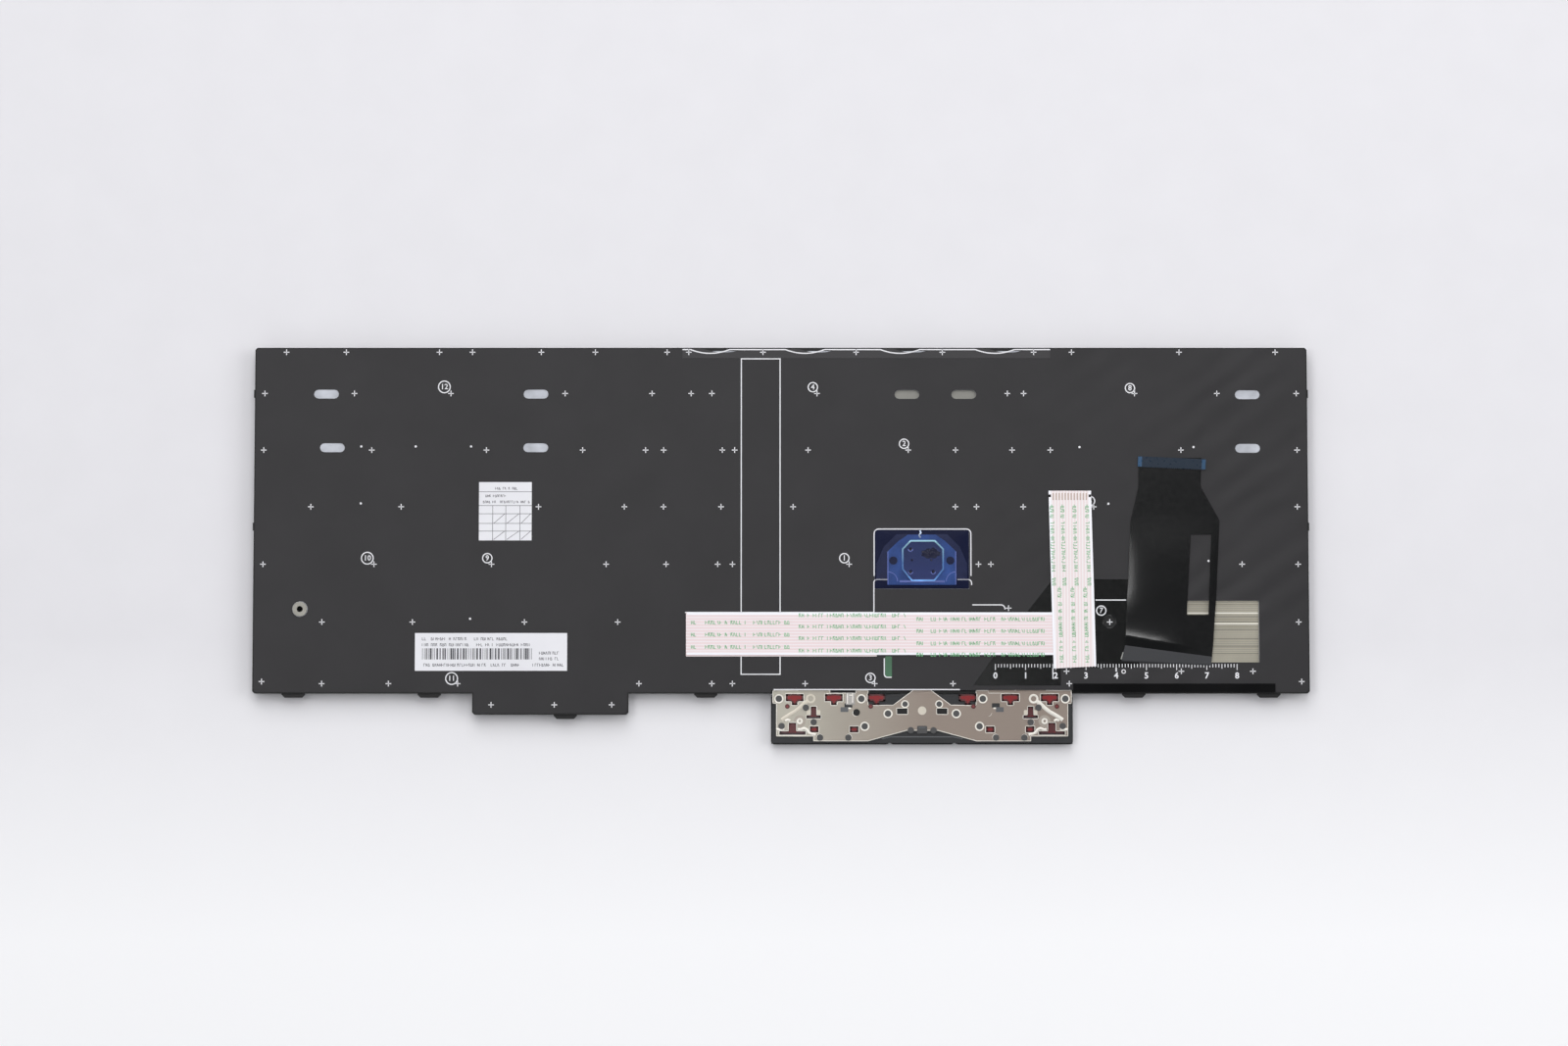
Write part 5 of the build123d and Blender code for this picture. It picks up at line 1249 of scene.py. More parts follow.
@dataclass
class FlexTail:
    """The black flex that folds out of the plate, its stiffener, the glossy patch, the dimple and the foam."""

    thickness: float = 0.15
    lift: float = 0.38
    curl: float = 3.4
    crest: float = 0.43
    crest_reach: float = 2.7
    crest_line: tuple[float, float] = (95.9, 101.2)
    slot_left: tuple[float, float] = (135.9, 134.4)
    slot_right: tuple[float, float] = (142.8, 141.6)
    slot_head: float = 62.3
    slot_foot: float = 89.0
    crease_line: tuple[float, float] = (99.1, 102.9)
    stiffener_width: float = 22.5
    stiffener_length: float = 3.5
    stiffener_tilt: float = -2.6
    tab_width: float = 1.3
    foot_line: tuple[float, float] = (104.0, 105.4)
    loosens: tuple[float, float] = (54.0, 18.0)
    settles: tuple[float, float] = (92.0, 14.0)
    LIP_SIDES, LIP_FOOT = (112.4, 143.2), 106.1
    DIMPLE = (108.8, 91.45)
    NICK = (113.3, 101.4, 112.6, 103.7)
    EDGES = ((36.8, 118.8, 139.7), (46.3, 118.7, 139.3), (57.6, 116.1, 145.5), (81.8, 114.8, 144.3),
             (98.8, 114.0, 143.1), (105.3, 112.4, 142.4))

    def build(self, frame: Frame) -> None:
        """Dresses the patch, foam and stiffener and replaces the flex by its tail."""
        frame.dress(FOAM, "foam_strip")
        frame.dress(STIFFENER, "flex_stiffener")
        self.low = frame.foot("keyboard_flex")
        self.base = frame.foot("flex_stiffener") - self.thickness
        # The facet below the crease and the roll wear a lighter grey: a painted reflection on the black flex.
        parts = [self.sheet(frame, self.EDGES[0][0], self.slot_head, 24, 40),
                 self.sheet(frame, self.slot_head, self.slot_foot, 30, 36, right=self.slot_left),
                 self.sheet(frame, self.slot_head, self.slot_foot, 30, 4, left=self.slot_right),
                 self.sheet(frame, self.slot_foot, None, 30, 40),
                 self.foot(frame).painted(1), self.roll(frame).painted(1)]
        make_piece("flex_tail", join(*parts), [FLEX, FLEX_FOOT_SHEEN], replaces=("keyboard_flex",),
                   crease=50.0)
        # A pale sliver at the fold's left corner: a painted glint on the flex's edge.
        x0, v0, x1, v1 = self.NICK
        nick_glint = strokes(np.array([(x0, frame.y(v0), x1, frame.y(v1))]), 0.4, self.base - 0.1,
                       self.base + self.thickness)
        make_piece("flex_nick_glint", nick_glint, [FLEX_EDGE_GLINT])
        make_piece("film_lip", self.lip(frame), [FILM])
        make_piece("stiffener_tabs", self.tabs(frame), [STIFFENER_TAB])
        patch = GlossPatch(frame)
        make_piece("gloss_patch", join(patch.shape(frame), self.dimple(frame, patch.top)), [PATCH, BLACK_PLASTIC],
                   replaces=("tail_cover_film",))

    def edges(self, v: Array) -> tuple[Array, Array]:
        """Gives the tail's left and right edge."""
        table_v, left, right = np.array(self.EDGES).T
        return np.interp(v, table_v, left), np.interp(v, table_v, right)

    def height(self, x: Array, v: Array) -> Array:
        """Gives the tail's underside.

        It rises from its left edge by an exponential curl, strongest half way down, and sinks to the right.
        Before its crease it climbs by an exponential to a crest, which fades out to the right, and falls from
        there in a straight line to the crease.
        """
        left, right = self.edges(v)
        share = np.clip((x - left) / (right - left), 0, 1)
        (start, rise), (stop, fade) = self.loosens, self.settles
        loose = self.ease((v - start) / rise) * self.ease((stop - v) / fade)
        roll = (1 - np.exp(-((x - left) / self.curl))) * (1 - share) ** 0.5
        top, crease = between(self.crest_line, share), between(self.crease_line, share)
        climb = np.exp(-np.clip(top - v, 0, None) / self.crest_reach)
        fall = np.clip((crease - v) / (crease - top), 0, 1)
        crest = self.crest * np.minimum(climb, fall) * self.ease((0.85 - share) / 0.5)
        return self.base + self.lift * loose * roll + crest

    def ease(self, share: Array) -> Array:
        """Eases from 0 to 1: three times the square less twice the cube."""
        share = np.clip(share, 0, 1)
        return share**2 * (3 - 2 * share)

    def sheet(self, frame: Frame, head: float, foot: float | None, rows: int, columns: int,
              left: tuple[float, float] | None = None, right: tuple[float, float] | None = None) -> Shape:
        """Sweeps a stretch of the tail.

        Args:
            frame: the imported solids.
            head: where the stretch starts, from the function-row edge.
            foot: where it ends, or None for the crease.
            rows: how many rows of points it has.
            columns: how many points each row has.
            left: X of its left side at head and foot, where that isn't the tail's own edge.
            right: X of its right side at head and foot, where that isn't the tail's own edge.

        Returns:
            The stretch, a closed sheet of even thickness over the tail's height.
        """
        share = np.linspace(0, 1, columns)[None] ** (1.5 if columns > 30 else 1.0)
        down = np.linspace(0, 1, rows)[:, None]
        stop = between(self.crease_line, share) if foot is None else foot
        v = between((head, stop), down) + 0 * share
        own_left, own_right = self.edges(v)
        x0 = own_left if left is None else between(left, down)
        x1 = own_right if right is None else between(right, down)
        x = between((x0, x1), share)
        points = np.stack([x, frame.y(v), self.height(x, v)], -1)
        return leaf(points, UP, self.thickness)

    def foot(self, frame: Frame) -> Shape:
        """Sweeps the flat facet from the crease down to the roll."""
        share = np.linspace(0, 1, 28)[None]
        down = np.linspace(0, 1, 8)[:, None]
        v = between((between(self.crease_line, share), between(self.foot_line, share)), down)
        x = between(self.edges(v), share)
        z = between((self.height(x[:1], v[:1]), self.base), down**1.5)
        points = np.stack([x, frame.y(v), z], -1)
        return leaf(points, UP, self.thickness)

    def roll(self, frame: Frame) -> Shape:
        """Rolls the foot of the tail over in a half turn down to the leaf on the membrane."""
        radius = (self.base + self.thickness - self.low) / 2
        turn = np.linspace(0, math.pi, 10)
        y = -(radius - self.thickness) * np.sin(turn)
        z = self.low + radius + (radius - self.thickness) * np.cos(turn)
        y, z = np.append(y, y[-1] + 6.0), np.append(z, z[-1])
        share = np.linspace(0, 1, 6)
        foot = between(self.foot_line, share)
        x = between(self.edges(foot), share)
        rows = np.stack([np.broadcast_to(x, (len(y), 6)), frame.y(foot)[None] + y[:, None],
                         np.broadcast_to(z[:, None], (len(y), 6))], -1)
        out = np.stack([np.zeros(len(y)), np.append(-np.sin(turn), 0.0), np.append(np.cos(turn), -1.0)], -1)
        return leaf(rows, out, self.thickness)

    def lip(self, frame: Frame) -> Shape:
        """Closes the film up to the rolled foot."""
        (x0, x1), foot = self.LIP_SIDES, self.LIP_FOOT
        (left, right), reach = self.foot_line, (self.base + self.thickness - self.low) / 2
        top = frame.top("rear_film")
        outline = np.array([(x0, foot), (x1, foot), (x1, right + reach), (x0, left + reach)])
        return slab(frame.plan(outline), top - 0.05, top + 0.01)

    def tabs(self, frame: Frame) -> Shape:
        """Lays the brighter ends of the stiffener."""
        tilt = math.radians(self.stiffener_tilt)
        along, up = np.array([math.cos(tilt), math.sin(tilt)]), np.array([-math.sin(tilt), math.cos(tilt)])
        reach = (self.stiffener_width - self.tab_width) / 2
        ends = frame.middle("flex_stiffener")[:2] + np.array([[-reach], [reach]]) * along
        half = up * (self.stiffener_length / 2 - 0.1)
        top = frame.top("flex_stiffener")
        return strokes(np.concatenate([ends - half, ends + half], 1), self.tab_width, top, top + 0.02)

    def dimple(self, frame: Frame, z: float) -> Shape:
        """Raises the low round rim of the dimple in the patch, and its duller floor."""
        profile = [(1.9, z), (2.35, z), (2.25, z + 0.05), (2.0, z + 0.05)]
        x, v = self.DIMPLE
        floor = disc(4.2, z, z + 0.012, 32)
        return join(turned(profile, 32, True), floor.painted(1)).moved(x, frame.y(v))


@dataclass
class PointingStick:
    """The stick's sensor under its blue film, and the cap on the keys' side."""

    edge: float = 0.52
    hole_pitch: float = 3.75
    corner_arc: float = 3.2
    OCTAGON = ((-6.6, 3.9), (-6.6, -3.0), (-3.4, -6.9), (4.2, -6.9), (7.3, -3.0), (7.3, 3.9), (4.4, 6.8),
               (-3.8, 6.8))
    film_room: float = 0.25
    film_sheet: float = 0.03
    nub_rings: tuple[tuple[float, int], ...] = ((0.0, 1), (0.8, 6), (1.6, 12), (2.4, 18))
    YOKE = ((-11.4, -8.1), (11.4, -8.1), (11.4, 3.0), (7.6, 6.6), (4.6, 8.6), (-4.6, 8.6), (-7.6, 6.6), (-11.4, 3.0))
    WINGS = ((-15.0, -6.4), (15.0, -6.4), (15.0, -1.0), (12.6, 4.6), (8.4, 8.8), (-8.4, 8.8), (-12.6, 4.6),
             (-15.0, -1.0))

    def build(self, frame: Frame) -> None:
        """Dresses the stick's pieces and adds what shows through the film."""
        frame.dress(CARRIER, "stick_carrier", "stick_post")
        frame.dress(DARK_METAL, "stick_rivets")
        self.x, self.y = frame.middle("stick_sensor")[:2]
        self.sensor_top = frame.top("stick_sensor")
        make_piece("stick_recess_with_shade", self.recess(frame), [STICK_RECESS_SHADE, CARRIER_SHADE, CARRIER, CARRIER_HIGHLIGHT])
        make_piece("sensor_plate", self.glaze(frame.foot("stick_sensor")),
                   [SENSOR_RIM_HIGHLIGHT, GLUE_AND_GAP_SHADE, CREASE, SENSOR, CARRIER_HIGHLIGHT], replaces=("stick_sensor",))
        make_piece("stick_cover", self.film(frame), [BLUE_FILM], replaces=("stick_film",))
        make_piece("stick_rubber_cap", self.cap(frame), [STICK_RUBBER], replaces=("stick_cap",))

    def recess(self, frame: Frame) -> Shape:
        """Lines the window's floor with painted shade and lays the carrier's yoke and its shaded wings on it."""
        low, high = frame.box("stick_film")
        size, middle = (high - low)[:2], ((low + high) / 2)[:2]
        floor = frame.foot("stick_carrier")
        top = frame.top("stick_carrier")
        sheet = slab(rounded(*(size - 0.1), 0.3), floor, floor + 0.02)
        wings = slab(np.array(self.WINGS), floor, floor + 0.04)
        yoke = slab(np.array(self.YOKE), floor, top + 0.01, 0.1)
        parts = [wings.painted(1), yoke.painted(2), self.carrier_lines(top + 0.01).painted(3)]
        return join(sheet.moved(*middle), join(*parts).moved(self.x, self.y))

    def carrier_lines(self, z: float) -> Shape:
        """Paints highlights on the sides of the yoke and on the quarter arcs in its lower corners."""
        side, foot, head = self.YOKE[1][0] - 0.15, self.YOKE[1][1] + 0.15, self.YOKE[2][1]
        turn = np.linspace(0, math.pi / 2, 10)
        arc = np.stack([side - self.corner_arc * np.cos(turn), foot + 1.0 + self.corner_arc * np.sin(turn)], -1)
        flip = np.array([-1.0, 1.0])
        uprights = np.array([(x, foot, x, head) for x in (-side, side)])
        return join(strokes(uprights, 0.3, z, z + 0.01),
                    ribbon(arc, 0.25, z, z + 0.01), ribbon((arc * flip)[::-1], 0.25, z, z + 0.01))

    def film(self, frame: Frame) -> Shape:
        """Stretches the clear film over the sensor: a sheet that falls from a flat top to its four edges."""
        low, high = frame.box("stick_film")
        size, middle = (high - low)[:2] / 2 - self.film_room / 2, ((low + high) / 2)[:2]
        across, along = np.linspace(-1, 1, 49)[None], np.linspace(-1, 1, 37)[:, None]
        rise = (1 - np.abs(across) ** 5) * (1 - np.abs(along) ** 7)
        ripple = 0.012 * np.sin(9 * across + 5 * along) * (1 - rise)
        edge_z = frame.top("rear_film")
        z = edge_z + (high[2] - self.film_sheet - edge_z - 0.012) * rise + ripple * rise
        x, y = middle[0] + size[0] * across + 0 * along, middle[1] - size[1] * along + 0 * across
        return leaf(np.stack([x, y, z], -1), UP, self.film_sheet)

    def glaze(self, low: float) -> Shape:
        """Makes the octagon with a painted rim highlight and holes of painted shade, and drops the dark glue on it.
        """
        corners = np.array(self.OCTAGON)
        z = self.sensor_top
        plate = slab(corners, low, z)
        rim = ribbon(corners + self.edge / 2 * mitres(corners, True), self.edge, z, z + 0.02, True)
        sides = np.array([(-1, -1), (1, -1), (-1, 1), (1, 1)]) * self.hole_pitch
        turn = np.linspace(math.pi, 2 * math.pi, 9)
        # Pale crescents on the lower side of each hole and the bar along the foot: painted highlights.
        crescent = ribbon(0.72 * np.stack([np.cos(turn), np.sin(turn)], -1), 0.26, z, z + 0.012)
        # The dark discs in the holes and pits are painted shade.
        bore = disc(1.25, z, z + 0.01, 14)
        pits = disc(0.8, z, z + 0.01, 12).scattered(np.array([(-3.3, 0.1), (3.1, 0.2)]))
        wobble = 1 + 0.1 * np.sin(np.arange(28) * 1.7)
        blob = slab(oval(6.2, 3.3, 28) * wobble[:, None], z, z + 0.02, 0.01).moved(2.9, 2.3)
        bar = strokes(np.array([(-7.4, -6.95, 7.6, -6.95)]), 0.65, z - 0.3, z - 0.2)
        crease = ribbon(np.array([(-0.6, 10.0), (-0.3, 9.2), (-0.9, 8.4), (-0.4, 7.6)]), 0.5, z - 0.25, z - 0.2)
        shape = join(rim, crescent.scattered(sides).painted(4), bore.scattered(sides).painted(1), bar.painted(4),
                     crease.painted(2), pits.painted(1), blob.painted(1), plate.painted(3))
        return shape.moved(self.x, self.y)

    def cap(self, frame: Frame) -> Shape:
        """Turns the soft cap with a dished top and sets rings of small nubs in the dish."""
        low, high = frame.box("stick_cap")
        x, y = ((low + high) / 2)[:2]
        radius = (high[0] - low[0]) / 2
        foot, top = low[2], high[2]
        profile = [(0.1, foot + 0.45), (1.2, foot + 0.4), (2.2, foot + 0.25), (2.9, foot + 0.08), (3.2, foot),
                   (radius - 0.25, foot + 0.1), (radius - 0.05, foot + 0.5), (radius, foot + 1.1), (radius, top)]
        nub = turned([(0.06, -0.14), (0.2, -0.08), (0.27, 0.0), (0.27, 0.12)], 8)
        places = [(ring * math.cos(2 * math.pi * k / count), ring * math.sin(2 * math.pi * k / count),
                   foot + 0.42 - 0.03 * ring**2) for ring, count in self.nub_rings for k in range(count)]
        return join(turned(profile, 40), nub.scattered(np.array(places))).moved(x, y)


@dataclass
class ButtonModule:
    """The stamped bracket with its rims, ridge and clips, and the three pointer buttons."""

    rim_height: float = 0.14
    head_v: float = 113.9
    skirt: float = 2.3
    EDGE, POST, BLACK, CLEAR, SPOT, SHADE, RING, DISC, FRAME, FOLD, SHEET = range(11)
    STAKES = ((47.4, 2.9, 1.0), (20.1, 2.9, 1.0), (11.3, 7.8, 1.0), (19.0, 12.0, 1.0), (5.65, 4.65, 0.85))
    PLAIN_POSTS = ((38.5, 5.8), (35.9, 10.6), (46.5, 11.9), (33.8, 15.7), (24.4, 15.7))
    RED_HOLES = ((44.6, 5.4), (17.0, 5.4))
    RIDGES = ((1.3, ((-37.9, 3.6), (-39.5, 4.9), (-40.8, 6.1), (-42.2, 7.2), (-43.8, 8.1), (-45.3, 9.0),
                     (-46.5, 9.9))),
              (0.85, ((-48.1, 12.95), (-46.8, 13.1), (-45.6, 12.85))),
              (0.85, ((-41.1, 12.95), (-40.3, 13.1), (-39.1, 12.6), (-38.1, 13.1), (-37.6, 14.0), (-36.4, 14.5),
                      (-35.2, 14.8))),
              (0.8, ((-43.7, 10.2), (-44.4, 9.8), (-45.3, 10.15))))
    LIT_SLOPES = ((34.25, 7.4), (37.55, 7.4))
    STAMP = (40.5, 10.3)
    DARK_HOLE = (-21.7, 7.4)
    CLOSED_SLOT = (26.3, 0.45)
    CLOSED_HOLES = ((46.5, 10.9),)
    STAKE_ROUND = 1.08
    HUB, HUB_POST, LOOP = (0.0, 6.8), (3.75, 13.3), (36.9, 2.9)
    MIDDLE_CLIP, GLASS = (0.0, 13.1), (-23.8, 2.9)
    CLIP_HEAD, CLIP_FOOT, CLIP_GLINT = (24.4, 5.1), (25.7, 6.45), (24.0, 6.0)
    GLINTS = ((-0.9, -1.6, -0.9, 1.7), (0.8, -1.2, 0.8, 1.9), (-0.4, 1.2, 0.6, 1.2))
    PADS = ((-6.6, 7.0), (6.6, 7.0))
    FRONT_LINE = ((-13.2, 16.1), (-10.3, 15.45), (10.2, 15.45), (13.4, 16.1))
    INSERT_STEM = (35.8, 6.0, 35.8, 8.6)
    INSERT_BAR = (33.9, 9.05, 37.7, 9.05)
    INSERT_POST = (42.9, 11.3, 42.9, 14.0)
    INSERT_BASE = (39.0, 14.4, 46.8, 14.4)

    def build(self, frame: Frame) -> None:
        """Dresses the module and adds its trim and its buttons."""
        frame.dress(BRACKET, "button_bracket")
        frame.dress(FRAME_PLASTIC, "button_frame")
        frame.dress(RED_PLASTIC, "left_button_insert", "right_button_insert")
        self.x = frame.middle("button_frame")[0]
        self.y = frame.y(self.head_v)
        self.z = frame.top("button_bracket")
        finishes = [BRACKET_HIGHLIGHT, STAKE, BLACK_PLASTIC, CLEAR_PLASTIC, RED_SPOT, RED_SHADE, BRACKET_SHADE,
                    BRACKET_SOFT_HIGHLIGHT, FRAME_PLASTIC, CLIP, BRACKET]
        make_piece("bracket_trim", self.trim(frame), finishes)
        for body, side in (("left_button", 1.0), ("right_button", -1.0)):
            shade = self.insert_shade(frame, f"{body}_insert", side)
            make_piece(f"{body}_insert_shade", shade, [RED_SHADE, RED_DEEP], body=body)
        for name in ("left_button", "middle_button", "right_button"):
            self.button(frame, name)

    def place(self, across: float | Array, down: float | Array) -> Array:
        """Turns a place on the module into X and Y."""
        return np.stack(np.broadcast_arrays(self.x + np.asarray(across), self.y - np.asarray(down)), -1)

    def mirrored(self, spots: tuple) -> Array:
        """Gives places on both sides of the module's middle."""
        across, down = np.array(spots)[:, :2].T
        return np.concatenate([self.place(across, down), self.place(-across, down)])

    def trim(self, frame: Frame) -> Shape:
        """Adds painted highlights on the sheared edges, stake rims, ridges and stamp, painted shade, and the clips.
        """
        z = self.z
        parts = [frame.inner_rim("button_bracket", z, 0.2)]
        for size in (1.0, 0.85):
            spots = self.mirrored(tuple(stake for stake in self.STAKES if stake[2] == size))
            post = self.STAKE_ROUND * size
            rim = turned([(post, z), (1.55 * size, z), (1.45 * size, z + self.rim_height * 0.8),
                          (1.28 * size, z + self.rim_height), (post, z + self.rim_height * 0.6)], 28, True)
            parts += [rim.scattered(spots), self.post(post, 0.04).scattered(spots)]
        plain = np.concatenate([self.mirrored(self.PLAIN_POSTS), self.mirrored((self.HUB_POST,))])
        parts.append(self.post(self.STAKE_ROUND, 0.16).scattered(plain))
        holes = self.mirrored(self.RED_HOLES)
        parts += [disc(1.6, z, z + 0.03).scattered(holes).painted(self.SHADE),
                  disc(0.7, z, z + 0.04, 12).scattered(holes).painted(self.SPOT),
                  disc(2.3, z, z + 0.03).moved(*self.place(*self.DARK_HOLE)).painted(self.BLACK)]
        for side in (-1, 1):
            for width, path in self.RIDGES:
                points = np.array(path)[::side] * np.array([side, 1.0])
                tone = self.DISC if side > 0 and width > 1 else self.EDGE
                parts.append(self.crest(self.place(points[:, 0], points[:, 1]), width).painted(tone))
        loop = turned([(0.9, z), (1.6, z), (1.5, z + 0.1), (1.2, z + 0.14), (0.95, z + 0.08)], 24, True)
        stamp = turned([(0.42, z), (1.05, z), (1.0, z + 0.08), (0.78, z + 0.12), (0.46, z + 0.05)], 24, True)
        turn = np.radians(np.linspace(62.0, 368.0, 28))
        field_x, field_down = self.STAMP[0] + 1.5 * np.cos(turn), self.STAMP[1] + 1.5 * np.sin(turn)
        stamps, loops = self.mirrored((self.STAMP,)), self.mirrored((self.LOOP,))
        for tone, side in ((self.EDGE, slice(0, 1)), (self.DISC, slice(1, 2))):
            parts.append(loop.scattered(loops[side]).painted(tone))
        parts.append(stamp.scattered(stamps))
        # The darker ring round each stamp is painted shade.
        parts += [ribbon(self.place(side * field_x, field_down), 1.0, z, z + 0.02).painted(self.RING)
                  for side in (-1, 1)]
        across, down = self.DARK_HOLE
        covers = np.concatenate([self.mirrored(self.CLOSED_HOLES), self.place([-across], [down])])
        parts += [disc(2.6, z, z + 0.035).scattered(covers).painted(self.SHEET),
                  slab(rounded(8.8, 1.0, 0.1, 3), z - 0.2, z + 0.035).moved(*self.place(*self.CLOSED_SLOT))
                  .painted(self.SHEET)]
        slope = slab(rounded(1.2, 1.6, 0.4), z, z + 0.015)
        parts += [slope.scattered(self.mirrored(self.LIT_SLOPES)).painted(self.DISC),
                  disc(2.8, z, z + 0.012, 24).moved(*self.place(*self.HUB)).painted(self.DISC)]
        return join(*parts, self.clips(frame))

    def insert_shade(self, frame: Frame, node: str, side: float) -> Shape:
        """Darkens the rim of a button's insert, and the stems and bars of it that lie deep in the bracket."""
        z = frame.top(node)
        across = np.array([side, 1.0, side, 1.0])
        deep = []
        for tone, width, line in ((0, 1.2, self.INSERT_STEM), (1, 0.7, self.INSERT_BAR), (0, 1.6, self.INSERT_POST),
                                  (1, 0.7, self.INSERT_BASE)):
            x0, down0, x1, down1 = np.array(line) * across
            bar = np.concatenate([self.place(x0, down0), self.place(x1, down1)])[None]
            deep.append(strokes(bar, width, z - 0.02, z + 0.015).painted(tone))
        return join(frame.inner_rim(node, z, 0.6), *deep)

    def post(self, radius: float, rise: float) -> Shape:
        """Makes the dished end of a post that is staked through the bracket and stands up by rise."""
        z = self.z
        return turned([(0.05, z - 0.1), (radius, z - 0.1), (radius, z + rise - 0.02), (radius * 0.9, z + rise),
                       (radius * 0.5, z + rise - 0.02), (0.05, z + rise - 0.025)], 20).painted(self.POST)

    def clips(self, frame: Frame) -> Shape:
        """Makes the middle clip, the folded clips with their dark slots and the clear clip on one side."""
        z = self.z
        clip = self.place(*self.MIDDLE_CLIP)
        middle = slab(rounded(3.4, 2.6, 0.4), z - 0.2, z + 0.04, 0.06).moved(*clip)
        rim = strokes(np.array([(-1.1, 0.7, 1.1, 0.7)]), 0.3, z + 0.04, z + 0.06).moved(*clip)
        upper = slab(rounded(2.6, 1.5, 0.2), z, z + 0.015).scattered(self.mirrored((self.CLIP_HEAD,)))
        lower = slab(rounded(2.6, 1.6, 0.2), z, z + 0.03).scattered(self.mirrored((self.CLIP_FOOT,)))
        glint = slab(rounded(0.9, 0.5, 0.1), z, z + 0.04).scattered(self.mirrored((self.CLIP_GLINT,)))
        shelf = frame.foot("button_bracket")
        front = ribbon(self.place(*np.array(self.FRONT_LINE).T), 0.3, shelf, shelf + 0.03)
        glass = slab(rounded(3.2, 4.2, 0.4), z - 0.3, z + 0.1, 0.15).moved(*self.place(*self.GLASS))
        sparkle = strokes(np.array(self.GLINTS), 0.25, z + 0.1, z + 0.12).moved(*self.place(*self.GLASS))
        return join(middle.painted(self.POST), rim.painted(self.FOLD), upper.painted(self.FRAME),
                    lower.painted(self.FOLD), glint, glass.painted(self.CLEAR), sparkle, front.painted(self.FOLD))

    def crest(self, path: Array, width: float) -> Shape:
        """Carries a low rounded ridge along a path."""
        steps = np.linspace(0, len(path) - 1, 5 * len(path))
        fine = np.column_stack([np.interp(steps, np.arange(len(path)), path[:, axis]) for axis in (0, 1)])
        side = mitres(fine, False)
        turn = np.linspace(0, math.pi, 7)
        section = np.cos(turn) * width / 2
        rise = np.sin(turn) * 0.14
        rows = np.concatenate([fine[:, None] - side[:, None] * section[None, :, None],
                               np.broadcast_to((self.z + rise)[None, :, None], (len(fine), 7, 1))], -1)
        foot = rows[:, ::-1].copy()
        foot[:, :, 2] = self.z - 0.02
        return loft(np.concatenate([foot[:, [-1, 0]], rows[:, ::-1]], 1))

    def button(self, frame: Frame, name: str) -> None:
        """Makes one pointer button with a flat face and soft edges."""
        low, high = frame.box(name)
        shell = Keycap(height=self.skirt - low[2], wall=1.2, floor=1.0, bow=0.0, dish=0.0, corner=0.8)
        parts = [shell.shape(shell.touch_face(low, high)).moved(z=low[2])]
        if name == "middle_button":
            pad = slab(rounded(3.2, 1.6, 0.2, 3), low[2] + shell.floor, high[2])
            parts += [pad.moved(*self.place(*spot)) for spot in self.PADS]
        make_piece(f"{name}_shell", join(*parts), [BLACK_PLASTIC], body=name, replaces=(name,))


@dataclass
class Keycap:
    """One keycap with a dished touch face, round corners and a bowed near edge, hollow behind."""

    height: float = 2.3
    wall: float = 1.1
    floor: float = 0.9
    draft: float = 0.32
    bow: float = 0.9
    dish: float = 0.1
    corner: float = 1.3

    def touch_face(self, low: Array, high: Array) -> Array:
        """Gives the touch face (x0, y0, x1, y1) of a cap whose skirt fills a box."""
        return np.concatenate([low[:2] + self.draft, high[:2] - self.draft])

    def outline(self, rect: Array, inset: float, steps: int = 7) -> Array:
        """Gives the plan of the cap drawn in by inset: a round-cornered box whose near corners are cut back.

        The near edge is lifted by bow times a power of the distance from the cap's middle, so that wide
        caps stay straight along most of it.
        """
        width, length = rect[2:] - rect[:2] - 2 * inset
        radius = max(self.corner - inset, 0.15)
        plan = self.refined(rounded(width, length, radius, steps))
        reach = np.clip(-plan[:, 1] / (length / 2), 0, 1)
        power = max(2.0, width / 7.0)
        plan[:, 1] += self.bow * reach * np.abs(plan[:, 0] / (width / 2)) ** power
        return plan + centre(rect)

    def refined(self, plan: Array, pieces: int = 4) -> Array:
        """Adds points along each side of a plan, evenly."""
        share = np.linspace(0, 1, pieces, endpoint=False)[None, :, None]
        after = np.roll(plan, -1, 0)
        return (plan[:, None] * (1 - share) + after[:, None] * share).reshape(-1, 2)

    def shape(self, rect: Array, ring: tuple[float, float, float] | None = None) -> Shape:
        """Skins the cap over a touch face.

        Args:
            rect: the touch face as (x0, y0, x1, y1).
            ring: centre and radius of a round that the cap keeps clear of.

        Returns:
            The closed cap, from its touch face at height 0 up to its skirt and into its hollow.
        """
        middle = centre(rect)
        edge = self.outline(rect, 0.42)
        rings = [raised(middle + (self.clear(edge, ring, 0.42) - middle) * share, self.dish * (1 - share**2))
                 for share in (0.06, 0.35, 0.65, 0.85, 1.0)]
        for inset, z in ((0.2, 0.05), (0.06, 0.16), (0.0, 0.34), (-self.draft, self.height)):
            rings.append(raised(self.clear(self.outline(rect, inset), ring, max(inset, 0)), z))
        for z in (self.height, self.floor):
            inner = self.outline(rect, self.wall - self.draft)
            rings.append(raised(self.clear(inner, ring, self.wall), z))
        return loft(np.stack(rings))

    def clear(self, plan: Array, ring: tuple[float, float, float] | None, inset: float) -> Array:
        """Moves the points of a plan that lie inside a round out to its edge."""
        if ring is None:
            return plan
        centre, radius = np.array(ring[:2]), ring[2] + inset
        arm = plan - centre
        reach = np.linalg.norm(arm, axis=1, keepdims=True)
        return centre + arm * np.maximum(1.0, radius / np.maximum(reach, 1e-6))


